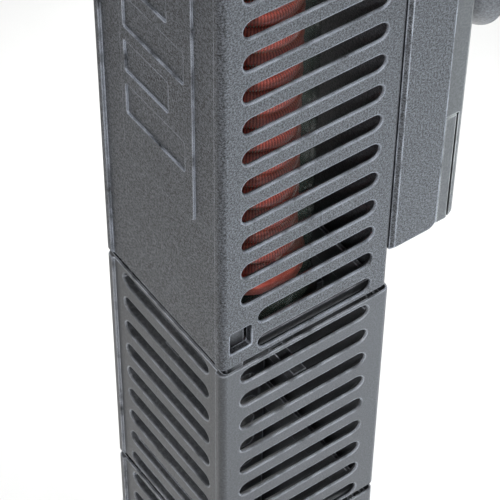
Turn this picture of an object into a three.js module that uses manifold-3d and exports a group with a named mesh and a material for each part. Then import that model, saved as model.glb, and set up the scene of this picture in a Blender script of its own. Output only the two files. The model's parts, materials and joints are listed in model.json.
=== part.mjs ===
// Submersible aquarium heater: a slotted square guard in three sections, a glass heater tube
// inside it, a control head on top and a lift-out bracket with two suction cups.
// Units are millimetres, +Z up. The origin lies on the tank glass, midway between the cups.
// The heater stands at -Y of the glass, and its front face looks towards -Y.
import * as THREE from 'three';
import { mergeVertices } from 'three/addons/utils/BufferGeometryUtils.js';
import Module from 'manifold-3d';

const wasm = await Module();
wasm.setup();

// ---- driving dimensions -------------------------------------------------------------------
// "Guard coordinates": x = y = 0 on the axis of the tube, z = 0 on top of the middle section.
const GLASS_Y = 47.5; // from the tube axis to the tank glass
const CUP_Z = [58.5, 120.5]; // heights of the two suction cups
const HALF_W = 20; // half the width of the guard
const FRONT_Y = -20.1; // corner strips of the front face
const PANEL_Y = -19.55; // front face between the corner strips
const UPPER_BACK_Y = 19.2; // rear face of the upper guard and the head
const MODULE_BACK_Y = 20.1; // rear face of the two lower sections
const WALL = 1.6;
const CORNER_R = 1.4;
const STRIP_W = 2.3; // width of each corner strip
const GAP = 0.3; // clearance between touching pieces

const PITCH = 7.25; // slot to slot
const SLOT_H = 3.7;
const SLOT_HALF = 15.2; // half the length of a side slot
const SLOT_MID_Y = -0.4;
const FRONT_SLOT_HALF = 14.7;
const SHORT_SLOT_FRONT_Y = -11.7; // where a side slot starts beside a latch window

const GROOVE = 1.4; // open joint line between two sections
const MODULE_H = 65.5; // one lower section with its joint line
const MODULE_SLOTS = 9;
const MODULE_SLOT_TOP = 1.15; // from the top of a section to its first slot
const UPPER_TOP_Z = 160;
const UPPER_SLOTS = 21;
const UPPER_SLOT_Z = 4.85; // middle of the lowest slot

const LATCH = { y0: -18.1, y1: -13.3, z0: 5.6, z1: 11.4 }; // window above a joint line
const COLLAR_H = 2.5; // spigot of a section inside the one above
const COLLAR_WALL = 1.3;
const TONGUE_ROOM_X = 15.6; // inner end of the room in which a latch tongue swings

const TUBE_R = 12.6;
const TUBE_WALL = 1.1;
const TUBE_TIP_Z = -12;
const TUBE_TOP_Z = 174.7;
const COIL_R = 9.7;
const COIL_Z = [7.7, 150];
const CORE_R = 7.6;
const LEAD_X = 8.7; // the outer lead, beside the core
const LEAD_R = 0.7;
const LEAD_TOP_Z = 196;
const FUSE = { r: 1.9, bore: 1, z0: 181, z1: 191 };
const SEAL_Z = 160; // lower face of the plug in the mouth of the tube
const DISC_H = 2.8;
const CAP_SCREW_X = 12.5;

const HEAD_Z = [UPPER_TOP_Z + GAP, 250];
const HEAD_WALL = 2;
const HEAD_SPLIT_Y = -14; // middle of the gasket between the two head shells
const GASKET = 0.8;

const CRADLE = { y0: UPPER_BACK_Y + GAP, y1: 30.3, z0: 10.6, z1: 145.5, wall: 2.2 };
const PLATE = { halfW: 19.5, y0: CRADLE.y1 + GAP, y1: 34.9, z0: 11.2 };
const LIFT = 10.2; // travel that brings a hook level with its window in the cradle
const HOOK = { neck: 5, head: 9, y1: 23.2, y2: 25.4, height: 9.6, z: [34, 104] };
const SHELF_Z = [27.3, 29.7]; // upper stop of the release
const RELEASE = { z1: 39.3, y1: 33.5 };
const CUP_R = 15;

// ---- finishes -----------------------------------------------------------------------------
const finish = (color, roughness, metalness = 0, opacity = 1) =>
  new THREE.MeshStandardMaterial({ color, roughness, metalness, opacity, transparent: opacity < 1 });
const GUARD_GREY = finish(0x55585d, 0.5);
const MODULE_GREY = finish(0x5b5f64, 0.4);
const BRACKET_GREY = finish(0x62666c, 0.5);
const HEAD_BLACK = finish(0x222427, 0.3);
const CUP_GREY = finish(0x8d9196, 0.5);
const SILICONE = finish(0x2c2d2f, 0.7);
const GLASS = finish(0xdfe8ea, 0.05, 0, 0.3);
const WINDOW = finish(0x15181c, 0.05, 0, 0.6);
const CERAMIC = finish(0xd9d2c4, 0.8);
const WINDING = finish(0xc4453b, 0.5);
const COPPER = finish(0xb5652f, 0.35, 1);
const STEEL = finish(0xb9bcc0, 0.3, 1);
const BOARD = finish(0x1e5a36, 0.5);
const LCD = finish(0x9fb0a4, 0.2);
const CHIP = finish(0x1a1a1a, 0.5);

// ---- solids -------------------------------------------------------------------------------
const heater = new THREE.Group();
heater.position.set(0, -GLASS_Y, -(CUP_Z[0] + CUP_Z[1]) / 2);

/** A manifold solid from a closed geometry. */
function solid(geometry) {
  const g = geometry.clone();
  g.deleteAttribute('normal');
  g.deleteAttribute('uv');
  const merged = mergeVertices(g, 1e-4);
  const vertProperties = new Float32Array(merged.attributes.position.array);
  const triVerts = new Uint32Array(merged.index.array);
  return new wasm.Manifold(new wasm.Mesh({ numProp: 3, vertProperties, triVerts }));
}

const cut = (body, ...tools) => tools.reduce((a, b) => a.subtract(b), body);
const join = (body, ...more) => more.reduce((a, b) => a.add(b), body);

/** Adds one named piece to the assembly. */
function piece(name, body, material) {
  const out = body.getMesh();
  const g = new THREE.BufferGeometry();
  g.setAttribute('position', new THREE.BufferAttribute(new Float32Array(out.vertProperties), 3));
  g.setIndex(new THREE.BufferAttribute(new Uint32Array(out.triVerts), 1));
  g.computeVertexNormals();
  const mesh = new THREE.Mesh(g, material);
  mesh.name = name;
  heater.add(mesh);
}

/** Box between two corners. */
function box(x0, x1, y0, y1, z0, z1) {
  const g = new THREE.BoxGeometry(x1 - x0, y1 - y0, z1 - z0);
  g.translate((x0 + x1) / 2, (y0 + y1) / 2, (z0 + z1) / 2);
  return solid(g);
}

/** Cylinder along +X, +Y or +Z from one end to the other. */
function rod(axis, r, from, to, a, b, sides = 24) {
  const g = new THREE.CylinderGeometry(r, r, to - from, sides);
  if (axis === 'x') g.rotateZ(-Math.PI / 2).translate((from + to) / 2, a, b);
  if (axis === 'y') g.translate(a, (from + to) / 2, b);
  if (axis === 'z') g.rotateX(Math.PI / 2).translate(a, b, (from + to) / 2);
  return solid(g);
}

/** Turned piece on a +Z axis from a profile of [radius, z] points that closes on itself. */
function turned(profile, sides = 32, x = 0, y = 0) {
  const points = profile.map(([r, z]) => new THREE.Vector2(r, z));
  if (profile[0][0] > 0) points.push(points[0].clone());
  const g = new THREE.LatheGeometry(points, sides).rotateX(Math.PI / 2).translate(x, y, 0);
  return solid(g);
}

/** Points of a rectangle with rounded corners. */
function roundedOutline(x0, x1, y0, y1, r, steps = 3) {
  const points = [];
  const corners = [[x1 - r, y0 + r, -90], [x1 - r, y1 - r, 0], [x0 + r, y1 - r, 90], [x0 + r, y0 + r, 180]];
  for (const [cx, cy, start] of corners) {
    for (let i = 0; i <= steps; i++) {
      const angle = THREE.MathUtils.degToRad(start + (90 * i) / steps);
      points.push(new THREE.Vector2(cx + r * Math.cos(angle), cy + r * Math.sin(angle)));
    }
  }
  return points;
}

/** Closed solid through outlines that all have the same number of points, each at its own z. */
function loft(layers) {
  const count = layers[0].outline.length;
  const position = [];
  for (const { outline, z } of layers) for (const p of outline) position.push(p.x, p.y, z);
  const index = [];
  for (let k = 0; k < layers.length - 1; k++) {
    for (let i = 0; i < count; i++) {
      const a = k * count + i;
      const b = k * count + ((i + 1) % count);
      index.push(a, b, b + count, a, b + count, a + count);
    }
  }
  const last = (layers.length - 1) * count;
  for (const [a, b, c] of THREE.ShapeUtils.triangulateShape(layers[0].outline, [])) {
    index.push(c, b, a, last + a, last + b, last + c);
  }
  const g = new THREE.BufferGeometry();
  g.setAttribute('position', new THREE.Float32BufferAttribute(position, 3));
  g.setIndex(index);
  return solid(g);
}

/** Upright rounded bar; each layer is [inset, z], where a positive inset shrinks the outline. */
function roundedBar(x0, x1, y0, y1, r, layers) {
  return loft(layers.map(([inset, z]) => ({
    outline: roundedOutline(x0 + inset, x1 - inset, y0 + inset, y1 - inset, Math.max(r - inset, 0.2)),
    z,
  })));
}

/** Round-ended cutter for one slot, through a wall along 'x' or 'y'. */
function slotCutter(axis, from, to, along0, along1, z, height = SLOT_H) {
  const r = height / 2;
  const shape = new THREE.Shape();
  shape.absarc(along0 + r, z, r, Math.PI / 2, Math.PI * 1.5);
  shape.absarc(along1 - r, z, r, -Math.PI / 2, Math.PI / 2);
  const g = new THREE.ExtrudeGeometry(shape, { depth: to - from, bevelEnabled: false, curveSegments: 2 });
  const turn = new THREE.Matrix4();
  if (axis === 'x') turn.set(0, 0, 1, from, 1, 0, 0, 0, 0, 1, 0, 0, 0, 0, 0, 1);
  if (axis === 'y') turn.set(1, 0, 0, 0, 0, 0, -1, to, 0, 1, 0, 0, 0, 0, 0, 1);
  g.applyMatrix4(turn);
  return solid(g);
}

// ---- the guard ----------------------------------------------------------------------------
/** Square tube with a sunk front panel; layers are [inset, z] of the outside. */
function guardTube(backY, layers) {
  const z0 = layers[0][1];
  const z1 = layers[layers.length - 1][1];
  const outside = roundedBar(-HALF_W, HALF_W, FRONT_Y, backY, CORNER_R, layers);
  const inner = HALF_W - WALL;
  const bore = roundedBar(-inner, inner, PANEL_Y + WALL, backY - WALL, 0.8, [[0, z0 - 1], [0, z1 + 1]]);
  const panel = HALF_W - STRIP_W;
  const recess = box(-panel, panel, FRONT_Y - 1, PANEL_Y, z0 - 1, z1 + 1);
  return cut(outside, bore, recess);
}

/** Slots through both side walls at once. */
function sideSlots(z, short) {
  const front = short ? SHORT_SLOT_FRONT_Y : SLOT_MID_Y - SLOT_HALF;
  return slotCutter('x', -HALF_W - 1, HALF_W + 1, front, SLOT_MID_Y + SLOT_HALF, z);
}

/** Pair of square windows for the latch tongues of the section below. */
function latchWindows(jointZ) {
  return box(-HALF_W - 1, HALF_W + 1, LATCH.y0, LATCH.y1, jointZ + LATCH.z0, jointZ + LATCH.z1);
}

/** Raised label field on the front with a column of sunk bars. */
function labelField() {
  const half = 11.2;
  const rise = 0.35;
  const ends = [35, 153];
  const bars = { z0: 46, z1: 142, pitch: 10.4, height: 7.2, x0: -9.8, long: 18.4, short: 13.6 };
  const field = new THREE.Shape(roundedOutline(-half, half, ...ends, 1.6, 3));
  const raised = new THREE.ExtrudeGeometry(field, { depth: rise + 0.4, bevelEnabled: false });
  raised.applyMatrix4(new THREE.Matrix4().set(1, 0, 0, 0, 0, 0, -1, PANEL_Y + 0.4, 0, 1, 0, 0, 0, 0, 0, 1));
  let body = solid(raised);
  let k = 0;
  for (let z = bars.z0; z + bars.height < bars.z1; z += bars.pitch) {
    const x1 = bars.x0 + (k % 2 ? bars.short : bars.long);
    body = body.subtract(box(bars.x0, x1, PANEL_Y - rise - 1, PANEL_Y - 0.02, z, z + bars.height));
    k += 1;
  }
  return body;
}

function makeUpperGuard() {
  const layers = [[0.8, GROOVE], [0, GROOVE + 0.9], [0, UPPER_TOP_Z - 0.4], [0.4, UPPER_TOP_Z]];
  let body = guardTube(UPPER_BACK_Y, layers);
  for (let k = 0; k < UPPER_SLOTS; k++) body = body.subtract(sideSlots(UPPER_SLOT_Z + k * PITCH, k < 2));
  const hooks = HOOK.z.map((z) => join(
    box(-HOOK.neck, HOOK.neck, UPPER_BACK_Y - 0.5, HOOK.y1 + 0.1, z, z + HOOK.height),
    box(-HOOK.head, HOOK.head, HOOK.y1, HOOK.y2, z, z + HOOK.height),
  ));
  body = join(cut(body, latchWindows(0)), labelField(), ...hooks);
  piece('upper_guard', body, GUARD_GREY);
}

/** One slotted lower section, its top at z = top. */
function makeModule(name, top, hasSectionBelow) {
  const bottom = top - MODULE_H + GROOVE;
  let body = guardTube(MODULE_BACK_Y, [[0.8, bottom], [0, bottom + 0.9], [0, top - 0.3], [0.3, top]]);
  const inner = HALF_W - WALL - GAP;
  const back = UPPER_BACK_Y - WALL - GAP;
  const front = PANEL_Y + WALL + GAP;
  const room = inner - COLLAR_WALL; // half the width inside the collar
  const collar = cut(
    roundedBar(-inner, inner, front, back, 0.8, [[0, top - 2], [0.2, top + GROOVE + COLLAR_H]]),
    roundedBar(-room, room, front + COLLAR_WALL, back - COLLAR_WALL, 0.5, [[0, top - 3], [0, top + 9]]),
  );
  const mid = WALL / 2;
  const step = cut(
    box(-HALF_W + mid, HALF_W - mid, PANEL_Y + mid, MODULE_BACK_Y - mid, top - 2, top - 0.6),
    box(-room, room, front + COLLAR_WALL, back - COLLAR_WALL, top - 3, top),
  );
  body = join(body, collar, step);
  for (let k = 0; k < MODULE_SLOTS; k++) {
    const z = top - MODULE_SLOT_TOP - SLOT_H / 2 - k * PITCH;
    const frontSlot = slotCutter('y', FRONT_Y - 1, PANEL_Y + WALL + 3, -FRONT_SLOT_HALF, FRONT_SLOT_HALF, z);
    body = cut(body, frontSlot, sideSlots(z, hasSectionBelow && k >= MODULE_SLOTS - 2));
  }
  if (hasSectionBelow) body = body.subtract(latchWindows(top - MODULE_H));
  for (const [x0, x1] of [[-HALF_W + WALL, -TONGUE_ROOM_X], [TONGUE_ROOM_X, HALF_W - WALL]]) {
    body = body.subtract(box(x0, x1, LATCH.y0 - GAP, LATCH.y1 + GAP, top - 5.2, top + 9));
  }
  piece(name, body, MODULE_GREY);
}

/** Sprung latch tongue of a section; side is +1 for the right wall and -1 for the left. */
function makeLatchTongue(name, top, side) {
  const outer = HALF_W - WALL - GAP;
  const thin = outer - 1.4;
  const noseX = HALF_W - 0.9;
  const noseZ = top + LATCH.z0 + 0.4;
  const tipZ = top + LATCH.z1 - 0.4;
  const stem = [[thin, top - 4.9], [outer, top - 4.9], [outer, noseZ]];
  const nose = [[noseX, noseZ], [noseX, noseZ + 1.8]];
  const tip = [[outer, tipZ], [thin, tipZ]];
  const shape = new THREE.Shape([...stem, ...nose, ...tip].map(([x, z]) => new THREE.Vector2(x, z)));
  const width = LATCH.y1 - LATCH.y0 - 0.8;
  const g = new THREE.ExtrudeGeometry(shape, { depth: width, bevelEnabled: false });
  g.rotateX(Math.PI / 2).translate(0, (LATCH.y0 + LATCH.y1) / 2 + width / 2, 0);
  if (side < 0) g.rotateZ(Math.PI).translate(0, LATCH.y0 + LATCH.y1, 0);
  piece(name, solid(g), MODULE_GREY);
}

/** Closing plate of the lowest section, with water holes and four short feet. */
function makeEndCap(top) {
  const z1 = top - MODULE_H + GROOVE - GAP;
  const plateZ = z1 - 2.4;
  const inner = HALF_W - WALL - GAP;
  const front = PANEL_Y + WALL + GAP;
  const back = MODULE_BACK_Y - WALL - GAP;
  const layers = [[0.6, plateZ], [0, plateZ + 0.6], [0, z1]];
  let body = roundedBar(-HALF_W, HALF_W, FRONT_Y, MODULE_BACK_Y, CORNER_R, layers);
  const plug = cut(
    roundedBar(-inner, inner, front, back, 0.8, [[0, z1 - 0.5], [0.3, z1 + 1.2]]),
    box(-inner + 1.4, inner - 1.4, front + 1.4, back - 1.4, z1, z1 + 3),
  );
  const posts = [-CAP_SCREW_X, CAP_SCREW_X].map((x) => rod('z', 3, z1 - 0.5, z1 + 1.2, x, 0, 20));
  body = join(body, plug, ...posts);
  for (const y of [-11, 0, 11]) {
    for (const x of y === 0 ? [-5, 5] : [-11, 0, 11]) {
      body = body.subtract(rod('z', 2.6, plateZ - 1, z1 + 2, x, y, 16));
    }
  }
  for (const x of [-CAP_SCREW_X, CAP_SCREW_X]) {
    body = body.subtract(rod('z', 1.6, plateZ - 1, z1 + 2, x, 0, 16));
    body = body.subtract(rod('z', 2.9, plateZ - 1, plateZ + 1.2, x, 0, 20));
  }
  const feet = [[-1, -1], [1, -1], [1, 1], [-1, 1]].map(([a, b]) => turned(
    [[0, plateZ - 1.6], [2.2, plateZ - 1.6], [2.8, plateZ + 0.2], [0, plateZ + 0.2]], 16, a * 15.5, b * 15.5,
  ));
  piece('guard_end_cap', join(body, ...feet), MODULE_GREY);

  // Two self-tapping screws pull the cap against a cross rib of the lowest section.
  [-CAP_SCREW_X, CAP_SCREW_X].forEach((x, i) => {
    const screw = join(
      rod('z', 2.5, plateZ + 0.1, plateZ + 0.9, x, 0, 20),
      rod('z', 1.3, plateZ + 0.8, z1 + 6, x, 0, 14),
    );
    const drive = join(
      box(x - 1.4, x + 1.4, -0.25, 0.25, plateZ - 1, plateZ + 0.5),
      box(x - 0.25, x + 0.25, -1.4, 1.4, plateZ - 1, plateZ + 0.5),
    );
    piece(`end_cap_screw_${i + 1}`, cut(screw, drive), STEEL);
  });
}

/** Cross rib that takes the cap screws, fixed across the inside of the lowest section. */
function makeCapRib(top) {
  const z0 = top - MODULE_H + GROOVE + 1.4;
  const z1 = z0 + 5.5;
  const inner = HALF_W - WALL - GAP;
  let rib = box(-inner, inner, -2, 2, z0, z1);
  for (const x of [-CAP_SCREW_X, CAP_SCREW_X]) {
    rib = cut(join(rib, rod('z', 3.6, z0, z1, x, 0, 20)), rod('z', 1.6, z0 - 1, z1 + 1, x, 0, 16));
  }
  piece('cap_screw_rib', rib, MODULE_GREY);
}

// ---- the heating tube ---------------------------------------------------------------------
/** Points of a quarter circle from the axis outwards, for a round tube end. */
function dome(r, centreZ, steps) {
  const points = [];
  for (let i = 0; i <= steps; i++) {
    const angle = (Math.PI / 2) * (i / steps);
    points.push([r * Math.sin(angle), centreZ - r * Math.cos(angle)]);
  }
  return points;
}

function makeTube() {
  const centreZ = TUBE_TIP_Z + TUBE_R;
  const outer = dome(TUBE_R, centreZ, 5);
  const inner = dome(TUBE_R - TUBE_WALL, centreZ, 5).reverse();
  const profile = [...outer, [TUBE_R, TUBE_TOP_Z], [TUBE_R - TUBE_WALL, TUBE_TOP_Z], ...inner];
  piece('glass_tube', turned(profile, 28), GLASS);

  const bore = 2.2;
  const core = [[bore, COIL_Z[0]], [CORE_R, COIL_Z[0]], [CORE_R, COIL_Z[1]], [bore, COIL_Z[1]]];
  piece('ceramic_core', turned(core, 24), CERAMIC);
  const winding = [[CORE_R + GAP, COIL_Z[0] + 0.4], [COIL_R, COIL_Z[0] + 0.4], [COIL_R, COIL_Z[1] - 0.4],
    [CORE_R + GAP, COIL_Z[1] - 0.4]];
  piece('heating_coil', turned(winding, 32), WINDING);

  const discR = TUBE_R - TUBE_WALL - GAP;
  const discs = [['coil_end_disc', COIL_Z[0] - 3.1], ['coil_top_disc', COIL_Z[1] + GAP]];
  for (const [name, z] of discs) {
    const z1 = z + DISC_H;
    const rounded = [[discR - 0.5, z], [discR, z + 0.5], [discR, z1 - 0.5], [discR - 0.5, z1]];
    const disc = turned([[bore, z], ...rounded, [bore, z1]], 32);
    const leadHole = rod('z', 1.1, z - 1, z + 4, LEAD_X, 0, 12);
    piece(name, name === 'coil_top_disc' ? cut(disc, leadHole) : disc, WINDING);
  }

  // One lead comes up beside the core from the top of the winding, the other through its bore.
  piece('lead_wire_live', rod('z', LEAD_R, COIL_Z[1] + 0.1, LEAD_TOP_Z, LEAD_X, 0, 10), COPPER);
  piece('lead_wire_return', rod('z', LEAD_R, COIL_Z[0] - 5, LEAD_TOP_Z, 0, 0, 10), COPPER);
  const { z0, z1 } = FUSE;
  const fuse = [[FUSE.bore, z0], [FUSE.r, z0], [FUSE.r, z1], [FUSE.bore, z1]];
  piece('thermal_fuse', turned(fuse, 16, LEAD_X, 0), STEEL);

  // Silicone plug in the mouth of the tube.
  const sealTop = TUBE_TOP_Z - 0.2;
  const flank = [[discR - 0.6, SEAL_Z], [discR, SEAL_Z + 1.5], [discR, sealTop]];
  const plug = turned([[0, SEAL_Z], ...flank, [0, sealTop]], 32);
  const leadHoles = [0, LEAD_X].map((x) => rod('z', 1, SEAL_Z - 1, sealTop + 1, x, 0, 12));
  piece('tube_seal', cut(plug, ...leadHoles), SILICONE);

  // Soft cup under the round tip, and the cradle that carries it across the section.
  const cupOuter = dome(TUBE_R + 2, centreZ, 5);
  const cupInner = dome(TUBE_R + GAP, centreZ, 5).reverse().filter(([, z]) => z < -3.5);
  const lip = [TUBE_R + 1.6, -3.2];
  const cupProfile = [...cupOuter.filter(([, z]) => z < -4), lip, ...cupInner];
  piece('tube_bumper', turned(cupProfile, 28), SILICONE);
  makeCradle(centreZ);
}

function makeCradle(centreZ) {
  const z0 = TUBE_TIP_Z - 4.6;
  const inner = HALF_W - WALL - GAP;
  const ring = rod('z', 10, z0, z0 + 5.5, 0, 0, 32);
  const arms = join(
    box(-inner, inner, -1.5, 1.5, z0, z0 + 3),
    box(-1.5, 1.5, PANEL_Y + WALL + GAP, MODULE_BACK_Y - WALL - GAP, z0, z0 + 3),
  );
  const seat = new THREE.SphereGeometry(TUBE_R + 2 + GAP, 28, 16).translate(0, 0, centreZ);
  const drain = rod('z', 2, z0 - 1, z0 + 9, 0, 0, 16);
  piece('tube_cradle', cut(join(ring, arms), solid(seat), drain), MODULE_GREY);
}

// ---- the control head ---------------------------------------------------------------------
const SCREW_SPOTS = [[-15.2, 178.5], [15.2, 178.5], [-15.2, 243], [15.2, 243]];
const WINDOW_HALF = 12.5;
const WINDOW_Z = [203, 237];
const GLAND = { x: 0, y: 9.5, r: 6.6, bore: 3.6 };
const LEVER = { y: -5, z: 255.5, r: 3.2 };

/** Outside of the head between two Y planes. */
function headBlock(y0, y1) {
  const [low, high] = HEAD_Z;
  const layers = [[0.4, low], [0, low + 0.4], [0, high - 2.4], [0.7, high - 0.7], [2.4, high]];
  const whole = roundedBar(-HALF_W, HALF_W, FRONT_Y, UPPER_BACK_Y, CORNER_R + 1, layers);
  return whole.intersect(box(-30, 30, y0, y1, 150, 260));
}

function makeHeadShells() {
  const inner = HALF_W - HEAD_WALL;
  const cavity = roundedBar(-inner, inner, FRONT_Y + HEAD_WALL, UPPER_BACK_Y - HEAD_WALL, 1, [
    [0, HEAD_Z[0] + 3], [0, HEAD_Z[1] - HEAD_WALL - 0.4]]);
  const tubeHole = rod('z', TUBE_R + GAP, 150, 170, 0, 0, 36);
  const probeHole = rod('z', 2.4, 150, 170, -12.5, 11.5, 16);
  const bosses = SCREW_SPOTS.map(([x, z]) => rod('y', 3.4, FRONT_Y + 1, UPPER_BACK_Y - 1, x, z, 20));

  // Spigot that holds the upper guard, part of the rear shell.
  const ringOut = HALF_W - WALL - GAP;
  const ringIn = ringOut - 1.5;
  const ringFront = PANEL_Y + WALL + GAP;
  const ringBack = UPPER_BACK_Y - WALL - GAP;
  const spigot = cut(
    roundedBar(-ringOut, ringOut, ringFront, ringBack, 0.8, [[0.3, 154], [0, HEAD_Z[0] + 1]]),
    roundedBar(-ringIn, ringIn, ringFront + 1.5, ringBack - 1.5, 0.6, [[0, 150], [0, HEAD_Z[0] + 0.2]]),
  );
  const rearY = HEAD_SPLIT_Y + GASKET / 2 + GAP;
  const frontY = HEAD_SPLIT_Y - GASKET / 2 - GAP;

  const ears = [-1, 1].map((s) => {
    const y = LEVER.y + s * 4.4;
    const stand = box(-LEVER.r, LEVER.r, y - 1, y + 1, HEAD_Z[1] - 1, LEVER.z);
    return join(rod('y', LEVER.r, y - 1, y + 1, 0, LEVER.z, 24), stand);
  });
  let rear = cut(headBlock(rearY, 30), cavity);
  const rearSide = box(-30, 30, rearY, UPPER_BACK_Y - 1, 150, 260);
  rear = join(rear, ...bosses.map((b) => b.intersect(rearSide)));
  rear = join(rear, spigot.intersect(box(-30, 30, rearY, 30, 150, 170)), ...ears);
  rear = cut(rear, tubeHole, probeHole, rod('y', 1.3, -20, 10, 0, LEVER.z, 16));
  for (const [x, z] of SCREW_SPOTS) {
    rear = cut(rear, rod('y', 1.6, -30, 30, x, z, 16), rod('y', 3, UPPER_BACK_Y - 3, 30, x, z, 20));
  }
  rear = cut(rear, rod('z', 4.3, HEAD_Z[1] - 6, 260, GLAND.x, GLAND.y, 24));
  piece('head_rear_shell', rear, HEAD_BLACK);

  let front = cut(headBlock(-30, frontY), cavity);
  const frontSide = box(-30, 30, FRONT_Y + 1, frontY, 150, 260);
  front = join(front, ...bosses.map((b) => b.intersect(frontSide)));
  const [low, high] = WINDOW_Z;
  const seat = WINDOW_HALF + 1.2;
  front = cut(front, box(-WINDOW_HALF, WINDOW_HALF, -30, -10, low, high),
    box(-seat, seat, FRONT_Y - 1, FRONT_Y + 1.2, low - 1.2, high + 1.2));
  for (const [x, z] of SCREW_SPOTS) front = front.subtract(rod('y', 1.6, FRONT_Y + 2, 0, x, z, 16));
  piece('head_front_bezel', front, HEAD_BLACK);

  const sealOut = HALF_W - 0.5;
  const sealY = [HEAD_SPLIT_Y - GASKET / 2, HEAD_SPLIT_Y + GASKET / 2];
  const sealBand = cut(box(-sealOut, sealOut, ...sealY, HEAD_Z[0] + 0.6, HEAD_Z[1] - 2.6),
    box(-inner, inner, -30, 0, HEAD_Z[0] + 3, HEAD_Z[1] - 4.6));
  const sealHoles = SCREW_SPOTS.map(([x, z]) => rod('y', 1.7, -30, 0, x, z, 14));
  const sealPads = SCREW_SPOTS.map(([x, z]) => rod('y', 3.4, ...sealY, x, z, 20));
  piece('head_gasket', cut(join(sealBand, ...sealPads), ...sealHoles), SILICONE);

  SCREW_SPOTS.forEach(([x, z], i) => {
    const head = rod('y', 2.6, UPPER_BACK_Y - 2.7, UPPER_BACK_Y - 0.7, x, z, 20);
    const shank = rod('y', 1.3, FRONT_Y + 4, UPPER_BACK_Y - 2.5, x, z, 14);
    const drive = join(box(x - 1.5, x + 1.5, UPPER_BACK_Y - 1.6, 30, z - 0.3, z + 0.3),
      box(x - 0.3, x + 0.3, UPPER_BACK_Y - 1.6, 30, z - 1.5, z + 1.5));
    piece(`head_screw_${i + 1}`, cut(join(head, shank), drive), STEEL);
  });
}

function makeDisplay() {
  const lens = WINDOW_HALF + 0.9;
  const plug = WINDOW_HALF - GAP;
  const [low, high] = WINDOW_Z;
  const lensBody = join(
    box(-lens, lens, FRONT_Y + 0.1, FRONT_Y + 0.9, low - 0.9, high + 0.9),
    box(-plug, plug, FRONT_Y + 0.8, FRONT_Y + 1.9, low + GAP, high - GAP),
  );
  piece('display_window', lensBody, WINDOW);
  piece('lcd_panel', box(-11, 11, -17.6, -15.6, low + 3, high - 3), LCD);
  piece('display_board', box(-13, 13, -15.2, -13.8, low - 6, high + 1), BOARD);
  piece('control_board', box(-15, 15, 2, 3.6, 186, 238), BOARD);
  const triac = join(box(-5, 5, 4, 8.4, 190, 205), box(-5, 5, 7, 8.4, 204, 212));
  piece('power_triac', triac, CHIP);
  piece('heat_spreader', cut(box(-12, 12, 8.8, 10.6, 188, 222), rod('y', 1.7, 0, 20, 0, 217, 14)), STEEL);
}

function makeHeadFittings() {
  // Collar and ring that clamp the mouth of the glass tube inside the head.
  const floor = HEAD_Z[0] + 3 + GAP;
  const bore = TUBE_R + GAP;
  const [low, high] = [floor + 2.6, floor + 9];
  const collar = turned([[bore, low], [14.6, low], [14.6, high], [bore, high]], 32);
  piece('tube_collar', collar, HEAD_BLACK);
  const section = 0.85; // radius of the ring's own section
  const ring = [];
  for (let i = 0; i < 8; i++) {
    const angle = (2 * Math.PI * i) / 8;
    ring.push([bore + section + section * Math.cos(angle), floor + 1.2 + section * Math.sin(angle)]);
  }
  piece('tube_o_ring', turned(ring, 24), SILICONE);

  // Temperature probe in the water space of the guard.
  const probe = turned([[0, 138], [1.2, 138.4], [2, 139.6], [2, 172], [0, 172]], 20, -12.5, 11.5);
  piece('sensor_probe', probe, STEEL);

  // Cable gland: a six-sided base and a round nut with a rubber ring in its bore.
  const { x, y, r } = GLAND;
  const top = HEAD_Z[1];
  const gland = join(
    rod('z', 4, top - 1.5, top + 1, x, y, 24),
    rod('z', r + 1, top + GAP, top + 4, x, y, 6),
    turned([[0, top + 3.5], [r, top + 3.5], [r, top + 10], [r - 1.6, top + 12], [0, top + 12]], 24, x, y),
  );
  const cordHole = rod('z', GLAND.bore + 0.3, top - 2, top + 13, x, y, 24);
  const sealGroove = rod('z', 5, top + 5, top + 9, x, y, 24);
  piece('cable_gland', cut(gland, cordHole, sealGroove), HEAD_BLACK);
  const grip = GLAND.bore - 0.4;
  const seal = [[grip, top + 5.3], [4.7, top + 5.3], [4.7, top + 8.7], [grip, top + 8.7]];
  piece('gland_seal', turned(seal, 24, x, y), SILICONE);
}

/** Set-point lever on top of the head, with its pin, centring spring and magnet. */
function makeLever() {
  const { y, z, r } = LEVER;
  const hub = rod('y', r, y - 3, y + 3, 0, z, 24);
  const shape = new THREE.Shape(roundedOutline(-1.6, 1.6, z, z + 10, 1.5, 4));
  const arm = new THREE.ExtrudeGeometry(shape, { depth: 6, bevelEnabled: false });
  arm.applyMatrix4(new THREE.Matrix4().set(1, 0, 0, 0, 0, 0, -1, y + 3, 0, 1, 0, 0, 0, 0, 0, 1));
  const foot = box(-2.6, 2.6, y - 2, y + 2, z - 4.6, z - 2);
  const pocket = box(-1.9, 1.9, y - 3, y + 3, z - 5, z - 3.4);
  const pinHole = rod('y', 1.3, -30, 10, 0, z, 16);
  const springRoom = rod('y', 2.4, y + 1.2, y + 4, 0, z, 20);
  piece('lever', cut(join(hub, solid(arm), foot), pinHole, pocket, springRoom), HEAD_BLACK);
  piece('lever_magnet', box(-1.5, 1.5, y - 1.6, y + 1.6, z - 4.8, z - 3.7), STEEL);
  piece('lever_pin', rod('y', 1, y - 5.2, y + 5.2, 0, z, 16), STEEL);
  const spring = turned([[1.25, -0.7], [1.9, -0.7], [1.9, 0.7], [1.25, 0.7]], 18);
  const turn = new THREE.Matrix4().makeRotationX(Math.PI / 2).setPosition(0, y + 2.2, z);
  piece('lever_spring', spring.transform(turn.toArray()), STEEL);
}

// ---- the bracket --------------------------------------------------------------------------
const PLATE_SCREWS = [[-14.4, 49], [14.4, 49], [-14.4, 137], [14.4, 137]];

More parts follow.
